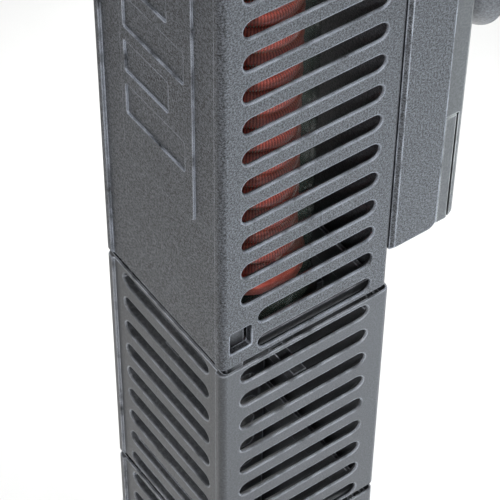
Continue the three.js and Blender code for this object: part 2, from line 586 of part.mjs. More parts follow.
function makeCradleBracket() {
  const { y0, y1, z0, z1, wall } = CRADLE;
  const layers = [[0.9, z0], [0, z0 + 0.9], [0, z1 - 0.9], [0.9, z1]];
  const outside = roundedBar(-HALF_W, HALF_W, y0, y1, 0.9, layers);
  const pocket = box(-HALF_W + wall, HALF_W - wall, y0 + wall + 1, 40, z0 + wall, z1 + 5);
  const keyholes = HOOK.z.map((z) => join(
    box(-HOOK.neck - GAP, HOOK.neck + GAP, y0 - 1, y0 + wall + 2, z - GAP, z + HOOK.height + LIFT),
    box(-HOOK.head - GAP, HOOK.head + GAP, y0 - 1, y0 + wall + 2,
      z + LIFT - GAP, z + HOOK.height + LIFT + GAP),
  ));
  const shelf = box(-11, 11, y0 + 1, 27.6, SHELF_Z[0], SHELF_Z[1]);
  const bosses = PLATE_SCREWS.map(([x, z]) => rod('y', 2.9, y0 + 1, y1, x, z, 20));
  let body = join(cut(outside, pocket), shelf, ...bosses);
  body = cut(body, ...keyholes, ...PLATE_SCREWS.map(([x, z]) => rod('y', 1.5, y0 + 2, 40, x, z, 14)));
  piece('bracket_cradle', body, BRACKET_GREY);
}

function makeBackPlate() {
  const { halfW, y0, y1, z0 } = PLATE;
  const { z1 } = CRADLE;
  const layers = [[1.2, z0], [0.35, z0 + 0.35], [0, z0 + 1.2], [0, z1 - 0.9], [0.9, z1]];
  let body = roundedBar(-halfW, halfW, y0, y1, 0.7, layers);
  body = cut(body, box(-30, 30, y0 - 1, RELEASE.y1 + GAP, z0 - 1, RELEASE.z1 + GAP));
  for (const z of CUP_Z) body = cut(body, rod('y', 3.4, 20, 40, 0, z, 24));
  for (const [x, z] of PLATE_SCREWS) {
    body = cut(body, rod('y', 1.6, 20, 40, x, z, 14), rod('y', 3, y1 - 1.9, 40, x, z, 20));
  }
  piece('bracket_back_plate', body, BRACKET_GREY);

  PLATE_SCREWS.forEach(([x, z], i) => {
    const head = rod('y', 2.6, y1 - 1.6, y1 - 0.2, x, z, 20);
    const shank = rod('y', 1.2, CRADLE.y0 + 2.4, y1 - 1.5, x, z, 14);
    const drive = join(
      box(x - 1.5, x + 1.5, y1 - 0.9, 40, z - 0.3, z + 0.3),
      box(x - 0.3, x + 0.3, y1 - 0.9, 40, z - 1.5, z + 1.5),
    );
    piece(`bracket_screw_${i + 1}`, cut(join(head, shank), drive), STEEL);
  });
}

/** Pull-down release between the cradle and the back plate, with its return spring. */
function makeRelease() {
  const { halfW, y0, z0 } = PLATE;
  const slab = box(-halfW, halfW, y0, RELEASE.y1, z0, RELEASE.z1);
  const lug = box(-4, 4, 25, y0 + 0.5, 22.4, 25);
  piece('release_slide', join(slab, lug), BRACKET_GREY);
  const foot = CRADLE.z0 + CRADLE.wall + GAP;
  const spring = [[1.5, foot], [2.3, foot], [2.3, 22.1], [1.5, 22.1]];
  piece('release_spring', turned(spring, 20, 0, 27.4), STEEL);
}

/** Suction cup: button, neck and shoulder on the plate, then a hollow cone with a flat rim. */
function makeSuctionCup(name, z) {
  const plateBack = PLATE.y1 + GAP;
  const button = [[0, 27.4], [4.6, 27.4], [5, 28.2], [5, 30.1], [3, 30.3], [3, plateBack]];
  const shoulder = [[7.2, plateBack], [7.8, plateBack + 0.8], [8, plateBack + 3]];
  const cone = [[10.6, plateBack + 6.4], [13.4, plateBack + 9.8], [CUP_R, GLASS_Y - 0.7]];
  const rim = [[CUP_R, GLASS_Y], [CUP_R - 1.7, GLASS_Y]];
  const hollow = [[10.6, plateBack + 8.6], [6.5, plateBack + 6], [0, plateBack + 5]];
  const profile = [...button, ...shoulder, ...cone, ...rim, ...hollow];
  const g = new THREE.LatheGeometry(profile.map(([r, y]) => new THREE.Vector2(r, y)), 28);
  g.translate(0, 0, z);
  piece(name, solid(g), CUP_GREY);
}

// ---- assembly -----------------------------------------------------------------------------
makeUpperGuard();
makeModule('middle_guard', 0, true);
makeModule('lower_guard', -MODULE_H, false);
[['middle', 0], ['lower', -MODULE_H]].forEach(([section, top]) => {
  makeLatchTongue(`${section}_latch_right`, top, 1);
  makeLatchTongue(`${section}_latch_left`, top, -1);
});
makeEndCap(-MODULE_H);
makeCapRib(-MODULE_H);
makeTube();
makeHeadShells();
makeDisplay();
makeHeadFittings();
makeLever();
makeCradleBracket();
makeBackPlate();
makeRelease();
makeSuctionCup('suction_cup_lower', CUP_Z[0]);
makeSuctionCup('suction_cup_upper', CUP_Z[1]);

const model = new THREE.Group();
model.add(heater);
export default model;
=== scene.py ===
# %% [markdown]
# This lesson dresses the CAD model of a submersible aquarium heater: a slotted square guard in three
# sections, a glass heating tube inside it, a control head on top and a bracket with two suction cups.
# The CAD model is the fixed frame. Every size below comes from it, or is a small detail the frame lacks.

# %% Load the frame
import json
import math

import bmesh
import bpy
from mathutils import Matrix, Vector

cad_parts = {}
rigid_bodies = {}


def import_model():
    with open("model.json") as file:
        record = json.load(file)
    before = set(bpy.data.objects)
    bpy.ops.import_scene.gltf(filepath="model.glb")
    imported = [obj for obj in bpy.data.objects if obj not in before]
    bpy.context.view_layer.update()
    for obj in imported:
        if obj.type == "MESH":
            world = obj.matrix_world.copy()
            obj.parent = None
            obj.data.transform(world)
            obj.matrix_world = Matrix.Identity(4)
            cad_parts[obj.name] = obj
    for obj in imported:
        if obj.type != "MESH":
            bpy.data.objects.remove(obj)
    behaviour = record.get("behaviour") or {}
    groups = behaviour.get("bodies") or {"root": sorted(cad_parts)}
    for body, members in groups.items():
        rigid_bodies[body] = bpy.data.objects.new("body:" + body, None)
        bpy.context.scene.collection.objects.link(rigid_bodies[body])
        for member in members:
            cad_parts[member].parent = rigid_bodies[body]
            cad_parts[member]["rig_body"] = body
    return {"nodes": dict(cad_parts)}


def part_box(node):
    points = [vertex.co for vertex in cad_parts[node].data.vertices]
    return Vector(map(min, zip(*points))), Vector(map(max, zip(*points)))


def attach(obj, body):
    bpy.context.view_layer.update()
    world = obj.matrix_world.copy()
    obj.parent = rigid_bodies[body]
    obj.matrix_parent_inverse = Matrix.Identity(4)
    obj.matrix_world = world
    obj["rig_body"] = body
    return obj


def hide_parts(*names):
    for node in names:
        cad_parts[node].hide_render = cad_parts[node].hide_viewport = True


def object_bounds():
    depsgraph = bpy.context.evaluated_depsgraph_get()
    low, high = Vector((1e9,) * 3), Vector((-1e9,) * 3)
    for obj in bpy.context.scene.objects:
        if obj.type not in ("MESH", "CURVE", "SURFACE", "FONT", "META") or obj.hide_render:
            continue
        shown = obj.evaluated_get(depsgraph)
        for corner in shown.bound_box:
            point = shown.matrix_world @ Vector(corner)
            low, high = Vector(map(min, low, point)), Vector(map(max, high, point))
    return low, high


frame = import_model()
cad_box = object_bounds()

# %% [markdown]
# Parts are drawn in millimetres around the heating tube: x = y = 0 on its axis and z = 0 at the joint
# under the upper guard. One matrix, TO_FRAME, brings a finished mesh to its place in the frame, in
# metres. Its inverse reads sizes out of the frame.

# %% Heater millimetres
MM = 0.001
GROOVE = 1.4  # open joint line between two guard sections

tube_low, tube_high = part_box("glass_tube")
guard_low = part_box("upper_guard")[0]
origin = Vector(((tube_low.x + tube_high.x) / 2, (tube_low.y + tube_high.y) / 2, guard_low.z - GROOVE * MM))
TO_FRAME = Matrix.Translation(origin) @ Matrix.Scale(MM, 4)
TO_HEATER = TO_FRAME.inverted()


def span(node_name):
    """Lowest and highest corner of a CAD node, in heater millimetres."""
    low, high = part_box(node_name)
    return TO_HEATER @ low, TO_HEATER @ high


def middle(node_name):
    low, high = span(node_name)
    return (low + high) / 2


GUARD, MIDDLE, LOWER, TUBE = [span(n) for n in ("upper_guard", "middle_guard", "lower_guard", "glass_tube")]
CRADLE, PLATE, HEAD, HEAD_FRONT = [span(n) for n in ("bracket_cradle", "bracket_back_plate",
                                                    "head_rear_shell", "head_front_bezel")]
print("guard, mm:", [round(v, 2) for v in (*GUARD[0], *GUARD[1])])

# %% [markdown]
# Shaders come first, because Geometry Nodes hand each finished shape its material. A node tree is easier
# to read as a few lines of text, so small helpers place a node and join its sockets.

# %% Node helpers
FLOAT, COLOUR, COUNT = "NodeSocketFloat", "NodeSocketColor", "NodeSocketInt"
GEOMETRY, OBJECT, MATERIAL = "NodeSocketGeometry", "NodeSocketObject", "NodeSocketMaterial"


def fill(tree, made, inputs):
    """Gives inputs of a node, by name or number, a value or another node's output."""
    for key, value in inputs.items():
        if isinstance(value, bpy.types.NodeSocket):
            tree.links.new(value, made.inputs[key])
        else:
            made.inputs[key].default_value = value
    return made


def node(tree, kind, inputs=None, **settings):
    made = tree.nodes.new(kind)
    for key, value in settings.items():
        setattr(made, key, value)
    return fill(tree, made, inputs or {})


def new_group(name, kind, inputs, outputs):
    """Empty node group with named sockets; returns the group, its given values and its output node."""
    tree = bpy.data.node_groups.new(name, kind)
    for label, socket, default in inputs:
        made = tree.interface.new_socket(label, in_out="INPUT", socket_type=socket)
        if default is not None:
            made.default_value = default
    for label, socket in outputs:
        tree.interface.new_socket(label, in_out="OUTPUT", socket_type=socket)
    return tree, tree.nodes.new("NodeGroupInput").outputs, tree.nodes.new("NodeGroupOutput")


def math_node(tree, operation, a, b):
    return node(tree, "ShaderNodeMath", {0: a, 1: b}, operation=operation).outputs[0]


def times(tree, a, b):
    return math_node(tree, "MULTIPLY", a, b)


def plus(tree, a, b):
    return math_node(tree, "ADD", a, b)


def ranged(tree, value, low, high, to_low=0.0, to_high=1.0):
    """Stretches low..high to to_low..to_high and clamps it there."""
    return node(tree, "ShaderNodeMapRange", {0: value, 1: low, 2: high, 3: to_low, 4: to_high}).outputs[0]


def blend_colours(tree, factor, a, b):
    return node(tree, "ShaderNodeMix", {0: factor, 6: a, 7: b}, data_type="RGBA").outputs[2]


def object_place(tree):
    return node(tree, "ShaderNodeTexCoord").outputs["Object"]


def noise(tree, place, scale, detail, **more):
    made = node(tree, "ShaderNodeTexNoise", {"Vector": place, "Scale": scale, "Detail": detail, **more})
    return made.outputs["Fac"]


# %% [markdown]
# Moulds for plastic housings are etched or spark-eroded, which leaves a fine pebbled skin that glints. One
# group makes that skin for every plastic here: a height for the bump, and a speckle that multiplies the
# colour, from pits painted darker than the surface to specks painted more than twice as bright. It is partly
# the plastic's own speckle, partly painted shade in the pits and painted glints on the specks.

# %% Shared effect: moulded skin with painted glints
def make_grain_and_glints():
    tree, given, out = new_group("Moulded Grain and Painted Glints", "ShaderNodeTree",
                                 [("Grains per Metre", FLOAT, 3200.0), ("Fleck Share", FLOAT, 0.3)],
                                 [("Height", FLOAT), ("Fleck", FLOAT)])
    place, scale, share = object_place(tree), given["Grains per Metre"], given["Fleck Share"]
    pits = node(tree, "ShaderNodeTexVoronoi", {"Vector": place, "Scale": scale}, feature="SMOOTH_F1")
    height = plus(tree, noise(tree, place, scale, 3.0, Roughness=0.7), pits.outputs["Distance"])
    sparks = noise(tree, place, scale, 2.0, Roughness=0.8, Distortion=0.4)
    # Painted glints and painted pit shade: the factor runs from darkest to brightest and multiplies the
    # colour.
    darkest = math_node(tree, "SUBTRACT", 1.0, share)
    brightest = plus(tree, 1.0, times(tree, share, 1.5))
    fill(tree, out, {"Height": height, "Fleck": ranged(tree, sparks, 0.40, 0.62, darkest, brightest)})
    return tree


GRAIN_AND_GLINTS = make_grain_and_glints()
print("group:", GRAIN_AND_GLINTS.name)

# %% [markdown]
# Handled plastic gets shiny and pale along its corners, and the same pale colour also stands for painted
# highlights on edges and steps. The Bevel node gives a rounded normal; where it leans away from the true
# normal there is an edge. Cloudy noise breaks the line up.

# %% Shared effect: scuffed edges and painted highlights
def make_wear_and_highlight():
    tree, given, out = new_group("Worn Edges and Painted Highlights", "ShaderNodeTree",
                                 [("Radius", FLOAT, 0.00045), ("Patches per Metre", FLOAT, 260.0)],
                                 [("Mask", FLOAT)])
    rounded = node(tree, "ShaderNodeBevel", {"Radius": given["Radius"]}, samples=4)
    true_normal = node(tree, "ShaderNodeNewGeometry").outputs["Normal"]
    lean = node(tree, "ShaderNodeVectorMath", {0: rounded.outputs[0], 1: true_normal},
                operation="DOT_PRODUCT")
    edge = ranged(tree, lean.outputs["Value"], 0.994, 0.96)
    patchy = ranged(tree, noise(tree, object_place(tree), given["Patches per Metre"], 3.0), 0.28, 0.55)
    fill(tree, out, {"Mask": times(tree, edge, patchy)})
    return tree


WEAR_AND_HIGHLIGHT = make_wear_and_highlight()
print("group:", WEAR_AND_HIGHLIGHT.name)

# %% [markdown]
# No moulding is one even colour. The pigment drifts in broad clouds, and a thin film of dust and lime
# lies on whatever faces up. This group mixes both into the base colour.

# %% Shared effect: drifting tone and settled dust
LIME = (0.42, 0.43, 0.42, 1.0)


def make_tone():
    tree, given, out = new_group("Drifting Tone", "ShaderNodeTree",
                                 [("Dark", COLOUR, None), ("Light", COLOUR, None), ("Dust", FLOAT, 0.1)],
                                 [("Colour", COLOUR), ("Dust Mask", FLOAT)])
    place = object_place(tree)
    drift = ranged(tree, noise(tree, place, 45.0, 5.0, Roughness=0.6), 0.3, 0.7)
    base = blend_colours(tree, drift, given["Dark"], given["Light"])
    normal = node(tree, "ShaderNodeNewGeometry").outputs["Normal"]
    up = node(tree, "ShaderNodeSeparateXYZ", {0: normal}).outputs["Z"]
    spotty = ranged(tree, noise(tree, place, 900.0, 4.0), 0.45, 0.7)
    mask = times(tree, times(tree, ranged(tree, up, 0.2, 0.95), spotty), given["Dust"])
    fill(tree, out, {"Colour": blend_colours(tree, mask, base, LIME), "Dust Mask": mask})
    return tree


TONE = make_tone()
print("group:", TONE.name)

# %% [markdown]
# Every hard plastic is then the same recipe with its own numbers: tone, a speckled skin that also paints
# glints, corners painted pale as scuffs and as painted highlights, pebbling in the bump, and painted shade:
# Ambient Occlusion darkens the colour in corners, recesses and the inside, where shade falls. The Principled
# shader stays in the material.

# %% Plastics
WEAR_HIGHLIGHT_GAIN = 9.0  # scuffed corners and their painted highlights are this many times as bright as the plastic
SHADE_REACH = 0.02  # metres within which neighbours count as cover
DEEP_SHADE_AO, NO_SHADE_AO = 0.2, 0.62  # ambient occlusion where the painted shade is darkest, and where there is none
WEAR_HIGHLIGHT_REACH = 2.2  # scuffs and painted highlights reach a little way into the painted shade
BUMP_DEPTH = 0.0001


def grey(value, cool=1.06, deep=1.16):
    """Cool grey from the red value; cool and deep scale green and blue."""
    return (value, value * cool, value * deep, 1.0)


def new_material(name):
    """Material with an empty tree, its Principled shader and its output joined."""
    made = bpy.data.materials.new(name)
    made.use_nodes = True
    tree = made.node_tree
    tree.nodes.clear()
    shader = tree.nodes.new("ShaderNodeBsdfPrincipled")
    node(tree, "ShaderNodeOutputMaterial", {0: shader.outputs[0]})
    return made, tree, shader


def rough_skin(tree, shader, strength, distance, height):
    skin = node(tree, "ShaderNodeBump", {"Strength": strength, "Distance": distance, "Height": height})
    fill(tree, shader, {"Normal": skin.outputs[0]})


def plastic(name, dark, light, grains=2800.0, fleck_glints=0.4, roughness=0.5, bump=0.35, wear_highlight=1.0,
            dust=0.1, painted_shade=0.12):
    made, tree, shader = new_material(name)
    tone = node(tree, "ShaderNodeGroup", {"Dark": dark, "Light": light, "Dust": dust}, node_tree=TONE)
    grain_glints = node(tree, "ShaderNodeGroup", {"Grains per Metre": grains, "Fleck Share": fleck_glints},
                 node_tree=GRAIN_AND_GLINTS)
    wear_and_highlight = node(tree, "ShaderNodeGroup", node_tree=WEAR_AND_HIGHLIGHT)
    # Painted highlight: scuffed corners and edges are blended towards this pale colour.
    bright = tuple(min(1.0, WEAR_HIGHLIGHT_GAIN * v) for v in light[:3]) + (1.0,)
    # Painted shade: Ambient Occlusion darkens the colour in corners, recesses and inside the guard, where
    # shade falls.
    open_sky = node(tree, "ShaderNodeAmbientOcclusion", {"Distance": SHADE_REACH}, samples=4).outputs["AO"]
    painted_shade_factor = ranged(tree, open_sky, DEEP_SHADE_AO, NO_SHADE_AO, painted_shade, 1.0)
    # Painted glints and painted shade: the speckle factor and the occlusion both scale the colour here.
    flecked_glinting = node(tree, "ShaderNodeVectorMath", {0: tone.outputs["Colour"],
                                                  "Scale": times(tree, grain_glints.outputs["Fleck"], painted_shade_factor)},
                   operation="SCALE").outputs[0]
    rubbed_and_highlight = times(tree, wear_and_highlight.outputs["Mask"], math_node(tree, "MINIMUM", times(tree, painted_shade_factor, WEAR_HIGHLIGHT_REACH), wear_highlight))
    matt = plus(tree, roughness, times(tree, tone.outputs["Dust Mask"], 0.3))
    shine = plus(tree, times(tree, rubbed_and_highlight, -0.2), times(tree, grain_glints.outputs["Fleck"], -0.05))
    fill(tree, shader, {"Base Color": blend_colours(tree, rubbed_and_highlight, flecked_glinting, bright),
                        "Roughness": plus(tree, matt, shine)})
    rough_skin(tree, shader, bump, BUMP_DEPTH, grain_glints.outputs["Height"])
    return made


GUARD_PLASTIC = plastic("Guard Plastic", grey(0.042, 1.08, 1.24), grey(0.052, 1.08, 1.24),
                        fleck_glints=0.95, roughness=0.46, bump=0.5)
MODULE_PLASTIC = plastic("Section Plastic", grey(0.050, 1.05, 1.16), grey(0.057, 1.05, 1.16),
                         fleck_glints=0.3, roughness=0.42, bump=0.25, painted_shade=0.3)
BRACKET_PLASTIC = plastic("Bracket Plastic", grey(0.048, 1.08, 1.22),
                          grey(0.059, 1.08, 1.22), fleck_glints=0.98, roughness=0.48, bump=0.6)
PLATE_PLASTIC = plastic("Plate Plastic", grey(0.074, 1.05, 1.05), grey(0.084, 1.05, 1.05),
                        fleck_glints=0.25, roughness=0.42, bump=0.18)
HEAD_PLASTIC = plastic("Head Plastic", grey(0.020), grey(0.027), fleck_glints=0.26, roughness=0.36,
                       bump=0.22, dust=0.16)
CUP_RUBBER = plastic("Cup Rubber", grey(0.120), grey(0.145), grains=2400.0, fleck_glints=0.36,
                     roughness=0.38, bump=0.25, wear_highlight=0.2, dust=0.3)
SEAL_RUBBER = plastic("Seal Rubber", grey(0.016, 1.0, 1.0), grey(0.024, 1.0, 1.0), grains=1500.0,
                      fleck_glints=0.2, roughness=0.62, bump=0.3, wear_highlight=0.15, dust=0.4)

# %% [markdown]
# The glass is thin borosilicate. Light has to reach the winding behind it, so the glass lets light
# through by its Alpha instead of bending it: clear where it is seen straight on, and closed near its
# edges, by Layer Weight. A grey-green tint and water marks finish it.

# %% Glass and windows
def clear_sheet(name, tint, alpha, roughness, spots):
    made, tree, shader = new_material(name)
    marks = noise(tree, object_place(tree), 160.0, 6.0, Roughness=0.7)
    edge = node(tree, "ShaderNodeLayerWeight", {"Blend": 0.35}).outputs["Facing"]
    closing = times(tree, math_node(tree, "POWER", edge, 2.0), 0.75)
    solid_part = plus(tree, plus(tree, closing, ranged(tree, marks, 0.5, 0.75, 0.0, spots)), alpha)
    fill(tree, shader, {"IOR": 1.47, "Base Color": tint, "Alpha": math_node(tree, "MINIMUM", solid_part, 1.0),
                        "Roughness": ranged(tree, marks, 0.4, 0.8, roughness, 0.3)})
    return made


GLASS = clear_sheet("Tube Glass", (0.10, 0.13, 0.11, 1.0), 0.06, 0.03, 0.03)
WINDOW = clear_sheet("Display Window", (0.015, 0.017, 0.02, 1.0), 0.45, 0.06, 0.02)

# %% [markdown]
# Metals are bright where they were turned or drawn and dull where they oxidised. Fine noise stretched
# along one axis makes the drawing marks, and a coarse noise makes the tarnish.

# %% Metals
def metal(name, bright, dull, roughness, lengthwise=(1.0, 1.0, 0.06)):
    made, tree, shader = new_material(name)
    place = object_place(tree)
    stretched = node(tree, "ShaderNodeMapping", {"Vector": place, "Scale": lengthwise}).outputs[0]
    lines = noise(tree, stretched, 6000.0, 3.0)
    patch = ranged(tree, noise(tree, place, 420.0, 4.0), 0.42, 0.68)
    fill(tree, shader, {"Base Color": blend_colours(tree, patch, bright, dull), "Metallic": 1.0,
                        "Roughness": ranged(tree, lines, 0.0, 1.0, roughness, roughness + 0.25)})
    rough_skin(tree, shader, 0.15, BUMP_DEPTH / 2, lines)
    return made


STEEL = metal("Stainless Steel", (0.62, 0.63, 0.65, 1.0), (0.42, 0.42, 0.43, 1.0), 0.2)
SPRING_STEEL = metal("Spring Steel", (0.50, 0.51, 0.54, 1.0), (0.30, 0.30, 0.31, 1.0), 0.25,
                     (1.0, 1.0, 1.0))
COPPER = metal("Copper Lead", (0.80, 0.42, 0.24, 1.0), (0.46, 0.22, 0.14, 1.0), 0.28)

# %% [markdown]
# Inside the tube a red-lacquered wire spring is wound on a fired clay former. The lacquer is glossy and
# uneven, and its colour is painted dark in each valley between its rings, as painted shade. The clay is
# chalky. The boards are dull green.

# %% Winding, clay, boards and display
def mottled(name, light, dark, scale, roughness, bump=0.3, coat=0.0, valley_shade=None):
    made, tree, shader = new_material(name)
    cloud = noise(tree, object_place(tree), scale, 5.0, Roughness=0.65)
    base = blend_colours(tree, ranged(tree, cloud, 0.35, 0.65), dark, light)
    # Painted shade: where the winding marks a valley, the colour turns to the dark valley shade given.
    if valley_shade:
        deep = node(tree, "ShaderNodeAttribute", attribute_name="valley").outputs["Fac"]
        base = blend_colours(tree, deep, base, valley_shade)
    fill(tree, shader, {"Base Color": base, "Coat Weight": coat,
                        "Roughness": ranged(tree, cloud, 0.0, 1.0, roughness + 0.12, roughness - 0.1)})
    rough_skin(tree, shader, bump, BUMP_DEPTH / 2, cloud)
    return made


# The dark red given for each valley is painted shade between the winding's rings.
LACQUER = mottled("Red Lacquer", (0.78, 0.13, 0.085, 1.0), (0.62, 0.08, 0.055, 1.0), 900.0, 0.4,
                  coat=0.3, valley_shade=(0.16, 0.012, 0.010, 1.0))
CLAY = mottled("Fired Clay", (0.66, 0.62, 0.54, 1.0), (0.52, 0.48, 0.41, 1.0), 700.0, 0.85, 0.6)
BOARD = mottled("Circuit Board", (0.020, 0.105, 0.050, 1.0), (0.012, 0.070, 0.034, 1.0), 350.0,
                0.42, coat=0.2)
CHIP = mottled("Chip Black", (0.018, 0.018, 0.019, 1.0), (0.010, 0.010, 0.011, 1.0), 1500.0, 0.55)
LCD = mottled("Display Panel", (0.30, 0.34, 0.30, 1.0), (0.25, 0.29, 0.25, 1.0), 200.0, 0.3, 0.05)
INK = mottled("Display Ink", (0.020, 0.022, 0.024, 1.0), (0.012, 0.013, 0.014, 1.0), 900.0, 0.5)
PAPER = mottled("Floor Paper", (0.80, 0.80, 0.79, 1.0), (0.76, 0.76, 0.75, 1.0), 9.0, 0.9, 0.1)

# %% [markdown]
# Most parts here are turned, drawn through a die, or moulded as lofted blocks with holes. A handful of
# small helpers makes those forms as closed meshes. Outlines are 2-D lists of points; arcs are formulas.

# %% Outlines
def arc(cx, cy, radius, start, end, steps=8):
    """Points on an arc; angles in degrees."""
    angles = [math.radians(start + (end - start) * k / steps) for k in range(steps + 1)]
    return [(cx + radius * math.cos(a), cy + radius * math.sin(a)) for a in angles]


def rounded_rect(u0, u1, v0, v1, radii, steps=8):
    """Rectangle with round corners; radii go round from the corner (u1, v0), or are one number."""
    r = radii if isinstance(radii, (list, tuple)) else [radii] * 4
    return (arc(u1 - r[0], v0 + r[0], r[0], -90, 0, steps) + arc(u1 - r[1], v1 - r[1], r[1], 0, 90, steps)
            + arc(u0 + r[2], v1 - r[2], r[2], 90, 180, steps)
            + arc(u0 + r[3], v0 + r[3], r[3], 180, 270, steps))


def slot_outline(u0, u1, half_height, steps=12):
    """Long hole with round ends."""
    return (arc(u1 - half_height, 0.0, half_height, -90, 90, steps)
            + arc(u0 + half_height, 0.0, half_height, 90, 270, steps))


def dome(radius, centre, steps=20):
    angles = [math.pi / 2 * k / steps for k in range(steps + 1)]
    return [(radius * math.sin(a), centre - radius * math.cos(a)) for a in angles]


def on_x(points, x):
    return [(x, u, v) for u, v in points]


def on_y(points, y):
    return [(u, y, v) for u, v in points]


def on_z(points, z):
    return [(u, v, z) for u, v in points]


# %% [markdown]
# Three kinds of closed solid are enough: a skin lofted through rings, a stack of one rounded rectangle
# that shrinks and grows on its way, and lathe work. Blocks and pins are their plainest cases.

# %% Closed solids
def show(name, mesh):
    made = bpy.data.objects.new(name, mesh)
    bpy.context.scene.collection.objects.link(made)
    return made


def solid(name, points, faces):
    """Mesh object from points and faces, with doubles merged and faces turned outwards."""
    mesh = bpy.data.meshes.new(name)
    mesh.from_pydata(points, [], faces)
    bm = bmesh.new()
    bm.from_mesh(mesh)
    bmesh.ops.remove_doubles(bm, verts=bm.verts, dist=1e-4)
    bmesh.ops.recalc_face_normals(bm, faces=bm.faces)
    bm.to_mesh(mesh)
    bm.free()
    return show(name, mesh)


def band(start, count):
    """Faces between two neighbouring rings of count points."""
    return [(start + i, start + (i + 1) % count, start + count + (i + 1) % count, start + count + i)
            for i in range(count)]


def loft(name, rings):
    """Skin through rings that have the same number of points, closed at both ends."""
    count = len(rings[0])
    points = [p for ring in rings for p in ring]
    faces = [face for k in range(len(rings) - 1) for face in band(k * count, count)]
    faces += [tuple(reversed(range(count))), tuple(range(len(points) - count, len(points)))]
    return solid(name, points, faces)


def stack(name, box, layers, radius, share=0.0, steps=8, plane=on_z):
    """Loft of the rounded rectangle box = (u0, u1, v0, v1) through (inset, place) layers. An inset also
    takes its share off the corner radius."""
    u0, u1, v0, v1 = box
    return loft(name, [plane(rounded_rect(u0 + i, u1 - i, v0 + i, v1 - i, radius - share * i, steps), where)
                       for i, where in layers])


def straight(low, high):
    """Layers of a stack without inset."""
    return [(0.0, low), (0.0, high)]


def turned(name, profile, steps=64, axis="z", centre=(0.0, 0.0, 0.0)):
    """Lathe work: profile is a list of (radius, height), closed on itself or on the axis."""
    loop = list(profile) if profile[0][0] == 0 and profile[-1][0] == 0 else list(profile) + [profile[0]]
    points, faces = [], []
    for radius, height in loop:
        for k in range(steps):
            a = 2 * math.pi * k / steps
            ring = (radius * math.cos(a), radius * math.sin(a))
            local = {"z": (*ring, height), "y": (ring[1], height, ring[0]), "x": (height, *ring)}[axis]
            points.append(tuple(c + v for c, v in zip(centre, local)))
    for k in range(len(loop) - 1):
        if loop[k][0] or loop[k + 1][0]:
            faces += band(k * steps, steps)
    return solid(name, points, faces)


def block(name, x0, x1, y0, y1, z0, z1):
    corners = [(x0, y0), (x1, y0), (x1, y1), (x0, y1)]
    return loft(name, [on_z(corners, z0), on_z(corners, z1)])


def filled(name, node_name):
    """Block that fills the box of a CAD node."""
    low, high = span(node_name)
    return block(name, low.x, high.x, low.y, high.y, low.z, high.z)


def pin(name, radius, start, end, axis, centre, steps=32):
    return turned(name, [(0, start), (radius, start), (radius, end), (0, end)], steps, axis, centre)


def pins(name, radius, start, end, axis, spots, steps=32):
    """Pins at spots, which are (x, z) for pins along Y and (x, y) for upright ones."""
    centres = [(u, 0, v) if axis == "y" else (u, v, 0) for u, v in spots]
    return [pin(name, radius, start, end, axis, centre, steps) for centre in centres]


# %% [markdown]
# Holes are cut and parts are joined with exact booleans, then the modifiers are baked into one plain
# mesh with new_from_object. Weighted normals keep the flat faces flat beside their small round lips.

# %% Bake, join, cut and smooth
def bake(thing):
    """Replaces the modifiers of an object by the mesh that they make."""
    graph = bpy.context.evaluated_depsgraph_get()
    mesh = bpy.data.meshes.new_from_object(thing.evaluated_get(graph), depsgraph=graph)
    thing.modifiers.clear()
    thing.data = mesh
    return thing


def worked(thing, operation, tools):
    """Cuts tools out of thing, or joins or intersects them with it, and removes them."""
    for tool in tools:
        step = thing.modifiers.new(tool.name, "BOOLEAN")
        step.operation = operation
        step.solver = "EXACT"
        step.object = tool
    bake(thing)
    for tool in tools:
        bpy.data.objects.remove(tool)
    return thing


def cut(thing, *tools):
    return worked(thing, "DIFFERENCE", tools)


def join(thing, *tools):
    return worked(thing, "UNION", tools)


def smooth(thing, angle=32.0, bevel=0.0):
    """Rounds the hard edges when a bevel is given, and shades round faces smooth and flat ones flat."""
    bm = bmesh.new()
    bm.from_mesh(thing.data)
    bmesh.ops.remove_doubles(bm, verts=bm.verts, dist=1e-5)
    bmesh.ops.dissolve_degenerate(bm, edges=bm.edges, dist=1e-5)
    bm.to_mesh(thing.data)
    bm.free()
    if bevel:
        rounding = thing.modifiers.new("Rounding", "BEVEL")
        rounding.width = bevel
        rounding.segments = 3
        rounding.angle_limit = math.radians(angle)
        bake(thing)
    thing.data.shade_smooth()
    thing.data.set_sharp_from_angle(angle=math.radians(angle))
    weights = thing.modifiers.new("Flat Faces", "WEIGHTED_NORMAL")
    weights.keep_sharp = True
    weights.weight = 100
    return bake(thing)


# %% Hand a piece over
made_pieces = []
ROUND, SOFT = 40.0, 45.0  # smoothing angles for turned parts and for ribbed rubber


def settle(thing, material, *node_names):
    """Finishes a piece. Without CAD nodes it is an extra one that rides on the heater."""
    thing.data.transform(TO_FRAME)
    thing.data.materials.clear()
    thing.data.materials.append(material)
    body = frame["nodes"][node_names[0]]["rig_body"] if node_names else "heater"
    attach(thing, body)
    if node_names:
        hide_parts(*node_names)
    made_pieces.append(thing.name)
    print(f"{thing.name}: {len(thing.data.polygons)} faces, rides on {body}")


def finish_piece(thing, material, node_name, angle=32.0, bevel=0.0):
    """Smooths a piece and lets it stand for one CAD node."""
    settle(smooth(thing, angle, bevel), material, node_name)


# %% [markdown]
# The guard is a square tube whose front panel is sunk between two narrow corner strips. A section of it
# is drawn once as an outline with round corners and tiny fillets at the steps, and lofted upwards.
# The inset shrinks the outline towards an end, which gives the chamfer beside each joint line.

# %% Guard body
HALF_W = GUARD[1].x
FRONT_Y = GUARD[0].y
PANEL_Y = FRONT_Y + 0.55
UPPER_BACK_Y = CRADLE[0].y - 0.3
MODULE_BACK_Y = MIDDLE[1].y
STRIP_W = 2.3
CORNER_R = 1.4
WALL = 1.6
GAP = 0.3
STEP_R = 0.18
INSIDE = HALF_W - WALL


